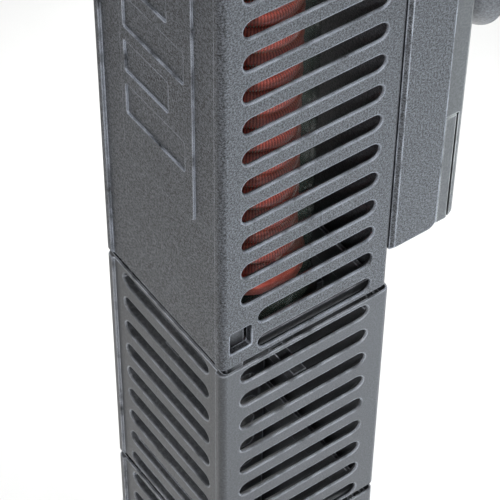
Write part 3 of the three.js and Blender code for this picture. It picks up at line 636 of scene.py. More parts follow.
def guard_outline(back, inset):
    """Outside of the guard at one height, from the right front corner round to the sunk panel."""
    w, front, radius, rear = HALF_W - inset, FRONT_Y + inset, CORNER_R - inset / 2, back - inset
    panel, step, r = max(PANEL_Y, front + 2.2 * STEP_R), HALF_W - STRIP_W, STEP_R
    return (rounded_rect(-w, w, front, rear, radius)
            + arc(-step - r, front + r, r, -90, 0, 4) + arc(-step + r, panel - r, r, 180, 90, 4)
            + arc(step - r, panel - r, r, 90, 0, 4) + arc(step + r, front + r, r, 180, 270, 4))


def guard_body(name, back, layers):
    """Hollow section of the guard; layers are (inset, z)."""
    body = loft(name, [on_z(guard_outline(back, inset), z) for inset, z in layers])
    hole = straight(layers[0][1] - 1, layers[-1][1] + 1)
    return cut(body, stack("bore", (-INSIDE, INSIDE, PANEL_Y + WALL, back - WALL), hole, 0.8))


def chamfered(low, high, bottom, top):
    """Layers of a section: a chamfer at its lower edge and a fine one at its upper edge."""
    return [(bottom, low), (bottom * 0.35, low + 0.45 * bottom), (0.0, low + 1.1 * bottom),
            (0.0, high - top), (0.3 * top, high - 0.3 * top), (top, high)]


def plug_box(back, inset=0.0):
    """Rectangle that slides into a section of the guard."""
    half, front = INSIDE - GAP - inset, PANEL_Y + WALL + GAP + inset
    return -half, half, front, back - WALL - GAP - inset


# %% [markdown]
# Each slot's mouth is rounded where the mould tool ran out. Instead of bevelling a finished wall, which
# tears where round ends meet, the cutter itself widens in a quarter circle as it reaches the surface.

# %% Cutters with rounded mouths
LIP_STEPS = 4


def lipped_cutter(name, outline, place, near, far, lip=0.34, far_lip=True, near_flare=0.0, far_flare=0.0):
    """Cutter along one axis; outline(grow) gives its section and place(points, where) its plane.
    A flare widens the cutter again behind a mouth, so that the bars between openings taper inwards."""
    angles = [math.pi / 2 * k / LIP_STEPS for k in range(LIP_STEPS + 1)]
    mouth = [(lip - lip * math.sin(a), lip - lip * math.cos(a)) for a in angles]
    near_mouth, far_mouth = [mouth + [(0.0, lip + 0.12), (flare, WALL + 0.1)]
                             for flare in (near_flare, far_flare)]
    rings = [place(outline(lip), near - 1.0)]
    rings += [place(outline(grow), near + depth - 0.01) for grow, depth in near_mouth]
    if far_lip:
        rings += [place(outline(grow), far - depth + 0.01) for grow, depth in reversed(far_mouth)]
        rings.append(place(outline(lip), far + 1.0))
    else:
        rings.append(place(outline(0.0), far))
    return loft(name, rings)


# %% [markdown]
# The slots repeat up the wall at one pitch, so a Geometry Nodes tree makes them: it lays one cutter on
# every point of an upright line, turns the instances into real mesh and cuts them all out of the wall.
# The tree's inputs are the cutter, the number of rows, the lowest row, the pitch and the finish.

# %% Geometry Nodes: rows of slots
def hand_out(tree, given, out, shape):
    """Ends a tree: real mesh that wears its finish."""
    real = node(tree, "GeometryNodeRealizeInstances", {0: shape})
    painted = node(tree, "GeometryNodeSetMaterial", {0: real.outputs[0], "Material": given["Finish"]})
    fill(tree, out, {0: painted.outputs[0]})
    return tree


def make_rows():
    tree, given, out = new_group("Rows of Openings", "GeometryNodeTree",
                                 [("Wall", GEOMETRY, None), ("Cutter", OBJECT, None), ("Rows", COUNT, 9),
                                  ("First Height", FLOAT, 0.0), ("Pitch", FLOAT, 7.25),
                                  ("Finish", MATERIAL, None)], [("Wall", GEOMETRY)])
    start = node(tree, "ShaderNodeCombineXYZ", {"Z": given["First Height"]}).outputs[0]
    rise = node(tree, "ShaderNodeCombineXYZ", {"Z": given["Pitch"]}).outputs[0]
    line = node(tree, "GeometryNodeMeshLine",
                {"Count": given["Rows"], "Start Location": start, "Offset": rise}, mode="OFFSET")
    cutter = node(tree, "GeometryNodeObjectInfo", {"Object": given["Cutter"]}).outputs["Geometry"]
    rows = node(tree, "GeometryNodeInstanceOnPoints", {"Points": line.outputs[0], "Instance": cutter})
    real = node(tree, "GeometryNodeRealizeInstances", {0: rows.outputs[0]})
    carved = node(tree, "GeometryNodeMeshBoolean", operation="DIFFERENCE", solver="EXACT")
    fill(tree, carved, {"Mesh 1": given["Wall"], "Mesh 2": real.outputs[0]})
    return hand_out(tree, given, out, carved.outputs[0])


ROWS = make_rows()


def grow(thing, tree, **values):
    """Runs a Geometry Nodes tree on an object with its inputs set by identifier, and bakes the result."""
    step = thing.modifiers.new(tree.name, "NODES")
    step.node_group = tree
    for item in tree.interface.items_tree:
        key = item.name.lower().replace(" ", "_")
        if item.in_out == "INPUT" and key in values:
            step[item.identifier] = values[key]
    return bake(thing)


def cut_rows(wall, cutter, rows, first_height, pitch, finish):
    """Cuts rows of one cutter out of a wall, then removes the cutter."""
    grow(wall, ROWS, cutter=cutter, rows=rows, first_height=float(first_height), pitch=float(pitch),
         finish=finish)
    bpy.data.objects.remove(cutter)


# %% [markdown]
# Side slots go straight through both side walls, so one long cutter makes the pair. The two lowest rows
# of a section are shorter, because a square window for a latch tongue takes their front end.

# %% Slots of the guard
PITCH = 7.25
SLOT_HALF_H = 1.85
SLOT_Y = (-15.6, 14.8)
SHORT_SLOT_Y = -11.7
FRONT_SLOT_HALF = 14.7
FLARE = 1.3
LATCH_Y, LATCH_Z, LATCH_CORNER = (-18.1, -13.3), (5.6, 11.4), 0.45


def side_slot(front, left_flare):
    outline = lambda g: slot_outline(front - g, SLOT_Y[1] + g, SLOT_HALF_H + g)
    return lipped_cutter("side slot", outline, on_x, -HALF_W, HALF_W, near_flare=left_flare, far_flare=FLARE)


def front_slot():
    outline = lambda g: slot_outline(-FRONT_SLOT_HALF - g, FRONT_SLOT_HALF + g, SLOT_HALF_H + g)
    return lipped_cutter("front slot", outline, on_y, PANEL_Y, PANEL_Y + WALL + 3, far_lip=False)


def latch_windows(joint):
    (y0, y1), (z0, z1) = LATCH_Y, LATCH_Z
    outline = lambda g: rounded_rect(y0 - g, y1 + g, joint + z0 - g, joint + z1 + g, LATCH_CORNER + g, 5)
    return lipped_cutter("latch windows", outline, on_x, -HALF_W, HALF_W, lip=0.25)


# %% [markdown]
# The front panel of the upper guard carries a raised field. The real one has a word sunk into it; here
# a plain column of sunk bars takes its place. On the back are two T-shaped hooks, by which the heater
# hangs in its bracket.

# %% Upper guard
UPPER_ROWS = 21
UPPER_SLOT_Z = 4.85
FIELD_HALF, FIELD_Z, FIELD_RISE = 11.2, (35.0, 153.0), 0.38
BAR_START, BAR_LONG, BAR_SHORT, BAR_HEIGHT = -9.8, 18.4, 13.6, 7.2
BAR_FIRST, BAR_PITCH, LONG_BARS, SHORT_BARS = 46.0, 10.4, 5, 4
HOOK_NECK, HOOK_HEAD, HOOK_PLATE_Y, HOOK_Z, HOOK_H = 5.0, 9.0, 23.2, (34.0, 104.0), 9.6


def label_field():
    face = PANEL_Y - FIELD_RISE
    layers = [(0.22, face), (0.07, face + 0.05), (0.0, face + 0.2), (0.0, PANEL_Y + 0.5)]
    return stack("label field", (-FIELD_HALF, FIELD_HALF, *FIELD_Z), layers, 1.7, steps=6, plane=on_y)


def label_bar(length):
    outline = lambda g: rounded_rect(BAR_START - g, BAR_START + length + g, -g, BAR_HEIGHT + g, 0.5 + g, 5)
    return lipped_cutter("bar", outline, on_y, PANEL_Y - FIELD_RISE, PANEL_Y - 0.02, lip=0.16, far_lip=False)


def hook(z):
    top = z + HOOK_H
    return [block("neck", -HOOK_NECK, HOOK_NECK, UPPER_BACK_Y - 0.6, HOOK_PLATE_Y + 0.2, z + 0.1, top - 0.1),
            block("plate", -HOOK_HEAD, HOOK_HEAD, HOOK_PLATE_Y, GUARD[1].y, z, top)]


upper = guard_body("upper_guard_shell", UPPER_BACK_Y, chamfered(GUARD[0].z, GUARD[1].z, 0.5, 0.4))
upper = join(upper, label_field(), *[part for z in HOOK_Z for part in hook(z)])
cut(upper, latch_windows(0.0))
second_height = UPPER_SLOT_Z + 2 * PITCH
for cutter, rows, first_height, pitch in (
        (side_slot(SHORT_SLOT_Y, FLARE), 2, UPPER_SLOT_Z, PITCH),
        (side_slot(SLOT_Y[0], FLARE), UPPER_ROWS - 2, second_height, PITCH),
        (label_bar(BAR_LONG), LONG_BARS, BAR_FIRST, 2 * BAR_PITCH),
        (label_bar(BAR_SHORT), SHORT_BARS, BAR_FIRST + BAR_PITCH, 2 * BAR_PITCH)):
    cut_rows(upper, cutter, rows, first_height, pitch, GUARD_PLASTIC)
finish_piece(upper, GUARD_PLASTIC, "upper_guard")

# %% [markdown]
# The two lower sections are alike: slots on the front and both sides, a collar that reaches up into the
# section above, and a narrow dark moat along the joint. Linings thicken the front and left walls.

# %% Lower sections
MODULE_ROWS = 9
MODULE_H = MIDDLE[0].z - LOWER[0].z
FIRST_SLOT = 3.0  # from the top of a section to the middle of its first slot
MOAT_DEPTH, MOAT_RIM = 3.2, 0.45
FRONT_LINING, LEFT_LINING, LINING_TOP = 0.9, 1.2, 5.5
ARM_HALF, ARM_REACH = 2.2, 16
TONGUE_ROOM_X = 15.6


def collar_and_moat(top):
    rim, low = MOAT_RIM, top - MOAT_DEPTH
    collar = stack("collar", plug_box(UPPER_BACK_Y), [(0.0, top - 4.6), (0.0, top + MIDDLE[1].z - 0.4),
                                                      (0.4, top + MIDDLE[1].z)], 0.8, 0.5)
    moat = stack("moat", (-HALF_W + rim, HALF_W - rim, PANEL_Y + rim, MODULE_BACK_Y - rim),
                 straight(low, top + 0.5), CORNER_R - rim)
    room = stack("collar room", plug_box(UPPER_BACK_Y), straight(low - 1, top + 1), 0.8)
    return collar, cut(moat, room)


def lining(low, top):
    """Extra thickness of the front and left walls, with room for the cradle's arms and a tongue."""
    front, high = PANEL_Y + WALL, top - LINING_TOP
    arm_low, arm_high = span("tube_cradle")
    arm_z = (arm_low.z - 0.8, arm_high.z + 0.8)
    made = join(block("front lining", -17.4, 17.4, front - 0.2, front + FRONT_LINING, low + 6.0, high),
                block("left lining", -INSIDE - 0.2, -INSIDE + LEFT_LINING, -17.0, 17.5, low + 3.2, high))
    return cut(made, block("front arm room", -ARM_HALF, ARM_HALF, -30, -ARM_REACH, *arm_z),
               block("side arm room", -30, -ARM_REACH, -ARM_HALF, ARM_HALF, *arm_z),
               block("tongue room", -30, -TONGUE_ROOM_X, LATCH_Y[0] - GAP, LATCH_Y[1] + GAP, low, low + 12.5))


def module(name, node_name, top, short_rows):
    low = top - MODULE_H + GROOVE
    collar, moat = collar_and_moat(top)
    left, right, front, _ = plug_box(UPPER_BACK_Y)
    ledge = block("ledge", left - 1.0, right + 1.0, front - 1.0, MODULE_BACK_Y - 0.8, top - 5, top - 3.4)
    bore = stack("bore", plug_box(UPPER_BACK_Y, 1.3), straight(top - 6, top + 9), 0.5)
    body = guard_body(name, MODULE_BACK_Y, chamfered(low, top, 0.8, 0.3))
    body = join(cut(join(body, ledge, collar), bore, moat), lining(low, top))
    first = top - FIRST_SLOT - (MODULE_ROWS - 1) * PITCH
    if short_rows:
        cut_rows(body, side_slot(SHORT_SLOT_Y, 0.0), short_rows, first, PITCH, MODULE_PLASTIC)
        cut(body, latch_windows(top - MODULE_H))
    cut_rows(body, side_slot(SLOT_Y[0], 0.0), MODULE_ROWS - short_rows, first + short_rows * PITCH, PITCH,
             MODULE_PLASTIC)
    cut_rows(body, front_slot(), MODULE_ROWS, first, PITCH, MODULE_PLASTIC)
    rooms = [block("latch room", *sorted((side * TONGUE_ROOM_X, side * INSIDE)), LATCH_Y[0] - GAP,
                   LATCH_Y[1] + GAP, top - 5.2, top + 9) for side in (-1, 1)]
    finish_piece(cut(body, *rooms), MODULE_PLASTIC, node_name)


module("middle_guard_shell", "middle_guard", 0.0, 2)
module("lower_guard_shell", "lower_guard", -MODULE_H, 0)

# %% [markdown]
# A latch tongue is a strip of the lower section that springs inwards: a stem, a slanted nose that snaps
# into the window, and a tip. Its profile is lofted across its width and gets a small bevel.

# %% Latch tongues
NOSE_INSET = 0.9  # how much further in the nose stands than the CAD's


def latch_tongue(section, top, side):
    node_name = f"{section}_latch_{'right' if side > 0 else 'left'}"
    low, high = span(node_name)
    inner, outer = min(abs(low.x), abs(high.x)), max(abs(low.x), abs(high.x)) - NOSE_INSET
    stem, nose_z = inner + 1.4, top + LATCH_Z[0] + 0.4
    profile = [(inner, low.z), (stem, low.z), (stem, nose_z - 0.3), (outer, nose_z), (outer, nose_z + 0.8),
               (stem, high.z), (inner, high.z)]
    rings = [[(side * x, y, z) for x, z in profile] for y in (low.y, high.y)]
    finish_piece(loft(f"{node_name}_tongue", rings), MODULE_PLASTIC, node_name, bevel=0.22)


for section, top in (("middle", 0.0), ("lower", -MODULE_H)):
    for side in (1, -1):
        latch_tongue(section, top, side)

# %% [markdown]
# The bracket is a shallow tray behind the guard, closed by a back plate that carries the cups. Seen from
# the side its corners are round, so its side profile is drawn and lofted across; the tray's side edges
# are flat chamfers. Keyhole openings in the tray's front wall take the two hooks.

# %% Bracket tray
LIFT = 10.2
TRAY_WALL = 2.2
SCREWS = [(x, z) for z in (49.0, 137.0) for x in (-14.4, 14.4)]
SHELF_Z = (27.3, 29.7)


def across(name, corners, edge, radii, front_share, edge_steps=4):
    """Loft across a CAD box. Its side edges are rounded by edge, at its front or at its back."""
    low, high = corners
    angles = [math.pi / 2 * k / edge_steps for k in range(edge_steps + 1)]
    ends = [(high.x - edge + edge * math.sin(a), edge - edge * math.cos(a)) for a in angles]
    outline = lambda i: rounded_rect(low.y + front_share * i, high.y - (1 - front_share) * i, low.z + i,
                                     high.z - i, radii, 10)
    rings = [on_x(outline(inset), -x) for x, inset in reversed(ends)]
    return loft(name, rings + [on_x(outline(inset), x) for x, inset in ends])


def keyhole(z):
    y0, y1 = CRADLE[0].y - 1, CRADLE[0].y + TRAY_WALL + 2
    neck, head, high = HOOK_NECK + GAP, HOOK_HEAD + GAP, z + HOOK_H + LIFT
    return [block("narrow", -neck, neck, y0, y1, z - GAP, high),
            block("wide", -head, head, y0 - 0.5, y1 + 0.5, z + LIFT - GAP, high + GAP)]


low, high = CRADLE
tray = across("bracket_tray", CRADLE, 0.75, [2.0, 2.0, 0.9, 0.3], 1, 1)
tray = cut(tray, block("pocket", low.x + TRAY_WALL, high.x - TRAY_WALL, low.y + TRAY_WALL + 1, high.y + 5,
                       low.z + TRAY_WALL, high.z - TRAY_WALL))
tray = join(tray, block("shelf", -11, 11, low.y + 1, 27.6, *SHELF_Z),
            *pins("boss", 2.9, low.y + 1, high.y, "y", SCREWS))
tray = cut(tray, *[part for z in HOOK_Z for part in keyhole(z)])
tray = cut(tray, *pins("screw hole", 1.5, low.y + 2, high.y + 2, "y", SCREWS))
finish_piece(tray, BRACKET_PLASTIC, "bracket_cradle")

# %% [markdown]
# The back plate's rear edges are round all the way, and its screws are countersunk. The release is a
# slab between tray and plate that a thumb pulls down, with a lug under the release spring.

# %% Back plate and release
RELEASE = span("release_slide")
CUP_SPOTS = [(0, middle(n).z) for n in ("suction_cup_lower", "suction_cup_upper")]
SLAB_BACK = 33.5

low, high = PLATE
plate = across("bracket_back_cover", PLATE, 0.6, [1.8, 1.8, 0.3, 0.3], 0)
plate = cut(plate, block("release room", -30, 30, low.y - 1, SLAB_BACK + GAP, low.z - 1, RELEASE[1].z + GAP))
sink = [(0, high.y - 1.9), (3.0, high.y - 1.9), (3.0, high.y - 0.3), (3.4, high.y + 0.1), (3.4, high.y + 1),
        (0, high.y + 1)]
sinks = [turned("countersink", sink, 48, "y", (x, 0, z)) for x, z in SCREWS]
plate = cut(plate, *pins("cup hole", 3.4, low.y - 1, high.y + 1, "y", CUP_SPOTS, 48),
            *pins("clearance", 1.6, low.y - 1, high.y + 1, "y", SCREWS), *sinks)
finish_piece(plate, PLATE_PLASTIC, "bracket_back_plate")

low, high = RELEASE
slab_y = PLATE[0].y
slab = smooth(block("release_tab", low.x, high.x, slab_y, SLAB_BACK, PLATE[0].z, high.z), bevel=0.35)
lug = block("lug", -4, 4, low.y, slab_y + 0.5, 22.4, 25)
finish_piece(join(slab, lug), PLATE_PLASTIC, "release_slide")

# %% [markdown]
# A suction cup is one turned shape: a button that snaps through the plate, a neck, a shoulder and a thin
# bell that flares to a soft rim. The bell's outside and inside are smooth curves, so they are formulas.

# %% Suction cups
def bell(r0, y0, r1, y1, swell, steps=14):
    """Curve from the shoulder to the rim that bulges by swell."""
    shares = [k / steps for k in range(steps + 1)]
    return [(r0 + (r1 - r0) * t ** 1.15, y0 + (y1 - y0) * t - swell * math.sin(math.pi * t)) for t in shares]


def suction_cup(name):
    low, high = span(name)
    radius, rim, plate = (high.z - low.z) / 2, high.y, PLATE[1].y + GAP
    button = [(0, low.y), (3.6, low.y), *arc(4.0, low.y + 1.0, 1.0, -90, 0, 6)[1:], (5.0, 30.1), (3.0, 30.3)]
    shoulder = [(3.0, plate), *arc(6.9, plate + 1.0, 1.0, -90, 0, 6), (8.0, plate + 2.6)]
    outside = bell(8.3, plate + 3.4, radius - 0.25, rim - 0.8, 0.9)
    lip = arc(radius - 0.55, rim - 0.55, 0.55, 0, 90, 6) + [(radius - 1.8, rim)]
    inside = list(reversed(bell(6.0, plate + 5.6, radius - 2.6, rim - 0.9, 0.7)))
    profile = button + shoulder + outside + lip + inside + [(0, plate + 5.0)]
    finish_piece(turned(f"{name}_rubber", profile, 96, "y", (0, 0, middle(name).z)), CUP_RUBBER, name, ROUND)


suction_cup("suction_cup_lower")
suction_cup("suction_cup_upper")

# %% [markdown]
# The glass tube is turned from one profile: a round closed end, straight walls and a fire-polished rim.

# %% Glass tube
TUBE_R = TUBE[1].x
TUBE_WALL = 1.1
TIP_CENTRE = TUBE[0].z + TUBE_R

rim = arc(TUBE_R - TUBE_WALL / 2, TUBE[1].z - TUBE_WALL / 2, TUBE_WALL / 2, 0, 180, 8)
bore = list(reversed(dome(TUBE_R - TUBE_WALL, TIP_CENTRE)))
tube = turned("glass_tube_clear", dome(TUBE_R, TIP_CENTRE) + rim + bore, 96)
finish_piece(tube, GLASS, "glass_tube", ROUND)

# %% [markdown]
# The heating element is a fine wire spring, and that spring is itself wound around the clay former. Real
# wire would need millions of faces. A Geometry Nodes tree winds one oval strand instead and swells every
# second ring of it, which gives the fine upright ridges with far fewer faces for each turn.

# %% Geometry Nodes: ridged winding
def make_winding():
    tree, given, out = new_group("Ridged Winding", "GeometryNodeTree",
                                 [("Seed Mesh", GEOMETRY, None), ("Turns", FLOAT, 10.0),
                                  ("Radius", FLOAT, 7.0), ("Start", FLOAT, 0.0), ("Height", FLOAT, 100.0),
                                  ("Points per Turn", COUNT, 96), ("Half Depth", FLOAT, 0.9),
                                  ("Half Height", FLOAT, 1.2), ("Ridge", FLOAT, 0.12), ("Sides", COUNT, 8),
                                  ("Finish", MATERIAL, None)], [("Mesh", GEOMETRY)])
    path = node(tree, "GeometryNodeCurveSpiral", {
        "Resolution": given["Points per Turn"], "Rotations": given["Turns"], "Start Radius": given["Radius"],
        "End Radius": given["Radius"], "Height": given["Height"]})
    upright = node(tree, "GeometryNodeSetCurveNormal", {0: path.outputs[0]}, mode="Z_UP")
    odd = math_node(tree, "MODULO", node(tree, "GeometryNodeInputIndex").outputs[0], 2.0)
    swell = math_node(tree, "SUBTRACT", 1.0, times(tree, odd, given["Ridge"]))
    ring = node(tree, "GeometryNodeCurvePrimitiveCircle", {"Resolution": given["Sides"], "Radius": 1.0})
    oval = node(tree, "ShaderNodeCombineXYZ", {0: given["Half Depth"], 1: given["Half Height"], 2: 1.0})
    section = node(tree, "GeometryNodeTransform", {"Geometry": ring.outputs[0], "Scale": oval.outputs[0]})
    # The valley mark on every second, thinner point is where the lacquer paints shade.
    marked = node(tree, "GeometryNodeStoreNamedAttribute", {"Geometry": upright.outputs[0], "Name": "valley",
                                                            "Value": odd}, data_type="FLOAT", domain="POINT")
    strand = node(tree, "GeometryNodeCurveToMesh", {"Curve": marked.outputs[0], "Scale": swell,
                                                    "Profile Curve": section.outputs[0], "Fill Caps": True})
    lift = node(tree, "ShaderNodeCombineXYZ", {"Z": given["Start"]}).outputs[0]
    placed = node(tree, "GeometryNodeTransform", {"Geometry": strand.outputs[0], "Translation": lift})
    soft = node(tree, "GeometryNodeSetShadeSmooth", {0: placed.outputs[0]})
    return hand_out(tree, given, out, soft.outputs[0])


WINDING = make_winding()


def wound(name, finish, **sizes):
    """Empty seed mesh turned into a winding by the tree."""
    return grow(show(name, bpy.data.meshes.new(name)), WINDING, finish=finish, **sizes)


COIL = span("heating_coil")
HALF_DEPTH, HALF_HEIGHT = 0.9, 1.45
coil_pitch = 2 * HALF_HEIGHT + 0.1
coil_height = COIL[1].z - COIL[0].z - 2 * HALF_HEIGHT
coil = wound("heating_winding", LACQUER, turns=coil_height / coil_pitch, radius=COIL[1].x - HALF_DEPTH,
             start=COIL[0].z + HALF_HEIGHT, height=coil_height, points_per_turn=200,
             half_depth=HALF_DEPTH, half_height=HALF_HEIGHT, ridge=0.22, sides=8)
settle(coil, LACQUER, "heating_coil")

# %% [markdown]
# The winding sits on a fired clay former between two discs. Copper leads come up through the upper disc
# and the silicone plug in the mouth of the tube, and one of them passes through a thermal fuse.

# %% Former, discs, leads, fuse and plug
CORE_BORE = 2.2
LEAD_X = middle("lead_wire_live").x
SEAL_RIBS, SEAL_WAVE, WAVE_STEPS = 4, 0.22, 48


def ring_profile(inner, outer, low, high, edge):
    """Profile of a ring whose two outer corners are round."""
    return ([(inner, low)] + arc(outer - edge, low + edge, edge, -90, 0, 5)
            + arc(outer - edge, high - edge, edge, 0, 90, 5) + [(inner, high)])


def rod_profile(radius, low, high, edge):
    """Profile of a rod with a small chamfer at both ends."""
    return [(0, low), (radius - edge, low), (radius, low + edge), (radius, high - edge),
            (radius - edge, high), (0, high)]


low, high = span("ceramic_core")
former = turned("clay_former", ring_profile(CORE_BORE, high.x, low.z, high.z, 0.4))
finish_piece(former, CLAY, "ceramic_core", ROUND)
for node_name in ("coil_end_disc", "coil_top_disc"):
    low, high = span(node_name)
    disc = turned(f"{node_name}_turned", ring_profile(CORE_BORE, high.x, low.z, high.z, 0.6))
    if node_name == "coil_top_disc":
        cut(disc, *pins("lead hole", 1.1, low.z - 1, high.z + 1, "z", [(LEAD_X, 0)]))
    finish_piece(disc, LACQUER, node_name, ROUND)
for node_name in ("lead_wire_live", "lead_wire_return"):
    low, high = span(node_name)
    wire = rod_profile((high.x - low.x) / 2, low.z, high.z, 0.2)
    wire = turned(f"{node_name}_drawn", wire, 32, centre=(middle(node_name).x, 0, 0))
    finish_piece(wire, COPPER, node_name, ROUND)

low, high = span("thermal_fuse")
can = arc(1.5, low.z + 1.6, 0.4, -90, 0, 5) + arc(1.5, high.z - 1.6, 0.4, 0, 90, 5)
crimps = [(1.0, low.z), (1.45, low.z), (1.45, low.z + 1.2)]
crimps_above = [(1.45, high.z - 1.2), (1.45, high.z), (1.0, high.z)]
fuse = turned("thermal_fuse_can", crimps + can + crimps_above, 48, centre=(LEAD_X, 0, 0))
finish_piece(fuse, STEEL, "thermal_fuse", ROUND)

low, high = span("tube_seal")
wave = [(high.x - SEAL_WAVE + SEAL_WAVE * math.cos(2 * math.pi * SEAL_RIBS * k / WAVE_STEPS),
         low.z + 1.2 + (high.z - low.z - 1.8) * k / WAVE_STEPS) for k in range(WAVE_STEPS + 1)]
plug = turned("tube_seal_plug", [(0, low.z), (high.x - 0.8, low.z), *wave, (high.x - 0.6, high.z),
                                 (0, high.z)], 72)
plug = cut(plug, *pins("lead hole", 1.0, low.z - 1, high.z + 1, "z", [(0, 0), (LEAD_X, 0)]))
finish_piece(plug, SEAL_RUBBER, "tube_seal", SOFT)

# %% [markdown]
# The round tip of the tube rests in a soft cup, and the cup in a cross-shaped cradle with a drain hole.
# The cradle's seat is cut with the same half ball as the cup's outside, a little larger.

# %% Bumper and cradle of the tube
BUMPER_WALL = 2.0
ARM_HALF_W, ARM_H, HUB_R, HUB_H = 1.5, 3, 10.0, 5.5

low, high = span("tube_bumper")
outside = [p for p in dome(TUBE_R + BUMPER_WALL, TIP_CENTRE) if p[1] < high.z - 1.2]
inside = [p for p in reversed(dome(TUBE_R + GAP, TIP_CENTRE)) if p[1] < high.z - 0.5]
lip = [(high.x - 0.3, high.z - 0.5), (high.x - 0.8, high.z)]
finish_piece(turned("tube_bumper_cup", outside + lip + inside, 96), SEAL_RUBBER, "tube_bumper", SOFT)

low, high = span("tube_cradle")
cross = turned("tube_cradle_cross", ring_profile(0.0, HUB_R, low.z, low.z + HUB_H, 0.6), 72)
cross = join(cross, block("arm", low.x, high.x, -ARM_HALF_W, ARM_HALF_W, low.z, low.z + ARM_H),
             block("arm", -ARM_HALF_W, ARM_HALF_W, low.y, high.y, low.z, low.z + ARM_H))
seat = turned("seat", dome(TUBE_R + BUMPER_WALL + GAP, TIP_CENTRE) + [(0, TIP_CENTRE)], 96)
cross = cut(cross, seat, *pins("drain", 2.0, low.z - 1, low.z + 9, "z", [(0, 0)]))
finish_piece(cross, MODULE_PLASTIC, "tube_cradle")

# %% [markdown]
# The foot of the guard is a plate with water holes, four short feet and a rim that plugs into the lowest
# section. Two screws pull it against a rib.

# %% End cap and rib
CAP_FOOT, CAP_PLUG = 1.6, 1.2
CAP_SCREWS = ["end_cap_screw_1", "end_cap_screw_2"]
CAP_SPOTS = [(middle(n).x, 0) for n in CAP_SCREWS]
WATER_SPOTS = [(x, y) for y in (-11, 11) for x in (-11, 0, 11)] + [(-5, 0), (5, 0)]

low, high = span("guard_end_cap")
under, over = low.z + CAP_FOOT, high.z - CAP_PLUG
layers = [(0.9, under), (0.45, under + 0.12), (0.12, under + 0.45), (0.0, under + 0.9), (0.0, over - 0.2),
          (0.2, over)]
cap = stack("guard_end_cap_plate", (-HALF_W, HALF_W, FRONT_Y, MODULE_BACK_Y), layers, CORNER_R + 0.4, 0.5)
rim = stack("rim", plug_box(MODULE_BACK_Y), [(0.0, over - 0.5), (0.0, high.z - 0.3), (0.3, high.z)], 0.8)
rim = cut(rim, block("rim room", *plug_box(MODULE_BACK_Y, 1.4), over, high.z + 2))
foot = [(0, low.z)] + arc(1.8, low.z + 0.4, 0.4, -90, 0, 5) + [(2.8, under + 0.3), (0, under + 0.3)]
feet = [turned("foot", foot, 40, centre=(x, y, 0)) for x in (-15.5, 15.5) for y in (-15.5, 15.5)]
cap = join(cap, rim, *pins("post", 3.0, over - 0.5, high.z, "z", CAP_SPOTS), *feet)
cap = cut(cap, *pins("water hole", 2.6, under - 1, high.z + 1, "z", WATER_SPOTS, 40),
          *pins("screw hole", 1.6, under - 1, high.z + 1, "z", CAP_SPOTS),
          *pins("screw seat", 2.9, under - 1, under + 1.2, "z", CAP_SPOTS))
finish_piece(cap, MODULE_PLASTIC, "guard_end_cap")

low, high = span("cap_screw_rib")
rib = block("cap_screw_rib_bar", low.x, high.x, -2, 2, low.z, high.z)
rib = join(rib, *pins("boss", 3.6, low.z, high.z, "z", CAP_SPOTS, 48))
rib = cut(rib, *pins("hole", 1.6, low.z - 1, high.z + 1, "z", CAP_SPOTS))
finish_piece(rib, MODULE_PLASTIC, "cap_screw_rib", bevel=0.25)

# %% [markdown]
# Screws repeat ten times, so one is modelled with its thread and cross recess, and a Geometry Nodes tree
# puts a copy on every point of a small point mesh. The points come from the CAD screws.

# %% Geometry Nodes: copies on points
def make_copies():
    tree, given, out = new_group("Copies on Points", "GeometryNodeTree",
                                 [("Spots", GEOMETRY, None), ("Part", OBJECT, None),
                                  ("Finish", MATERIAL, None)], [("Mesh", GEOMETRY)])
    part = node(tree, "GeometryNodeObjectInfo", {"Object": given["Part"]}).outputs["Geometry"]
    copies = node(tree, "GeometryNodeInstanceOnPoints", {"Points": given["Spots"], "Instance": part})
    return hand_out(tree, given, out, copies.outputs[0])


COPIES = make_copies()
THREAD_PITCH, THREAD_DEPTH = 0.7, 0.2
HEAD_EDGE, RECESS_HALF = 0.35, 0.28
HEAD_SCREWS = [f"head_screw_{k}" for k in range(1, 5)]
BRACKET_SCREWS = [f"bracket_screw_{k}" for k in range(1, 5)]


def screw(axis, length, head_r, head_h, shank_r, recess_depth):
    """Screw about the middle of its length, its head towards the far end of the axis."""
    low, neck, top = -length / 2, length / 2 - head_h, length / 2
    profile = [(0, low), (0.35 * shank_r, low), (shank_r, low + 1.2)]
    for k in range(int((neck - low - 2.0) / THREAD_PITCH)):
        z = low + 1.4 + k * THREAD_PITCH
        profile += [(shank_r, z), (shank_r - THREAD_DEPTH, z + THREAD_PITCH / 2)]
    profile += [(shank_r, neck), (head_r, neck)]
    profile += arc(head_r - HEAD_EDGE, top - HEAD_EDGE, HEAD_EDGE, 0, 90, 5) + [(0, top)]
    wide, deep = 0.58 * head_r, (top - recess_depth, top + 1)
    recess = [block("recess", -a, a, *deep, -b, b) if axis == "y" else block("recess", -a, a, -b, b, *deep)
              for a, b in ((wide, RECESS_HALF), (RECESS_HALF, wide))]
    return smooth(cut(turned("screw", profile, 32, axis), *recess), ROUND)


def place_screws(name, node_names, axis, *sizes):
    """One screw on every CAD screw of a list. Upright screws hang upside down."""
    low, high = span(node_names[0])
    part = screw(axis, (high - low)["xyz".index(axis)], *sizes)
    if axis == "z":
        part.data.transform(Matrix.Rotation(math.pi, 4, "X"))
    mesh = bpy.data.meshes.new(name)
    mesh.from_pydata([middle(node_name) for node_name in node_names], [], [])
    copies = grow(show(name, mesh), COPIES, part=part, finish=STEEL)
    bpy.data.objects.remove(part)
    settle(copies, STEEL, *node_names)


place_screws("head_screws", HEAD_SCREWS, "y", 2.6, 2.0, 1.3, 0.9)
place_screws("bracket_screws", BRACKET_SCREWS, "y", 2.6, 1.4, 1.2, 0.7)
place_screws("end_cap_screws", CAP_SCREWS, "z", 2.5, 0.8, 1.3, 0.4)

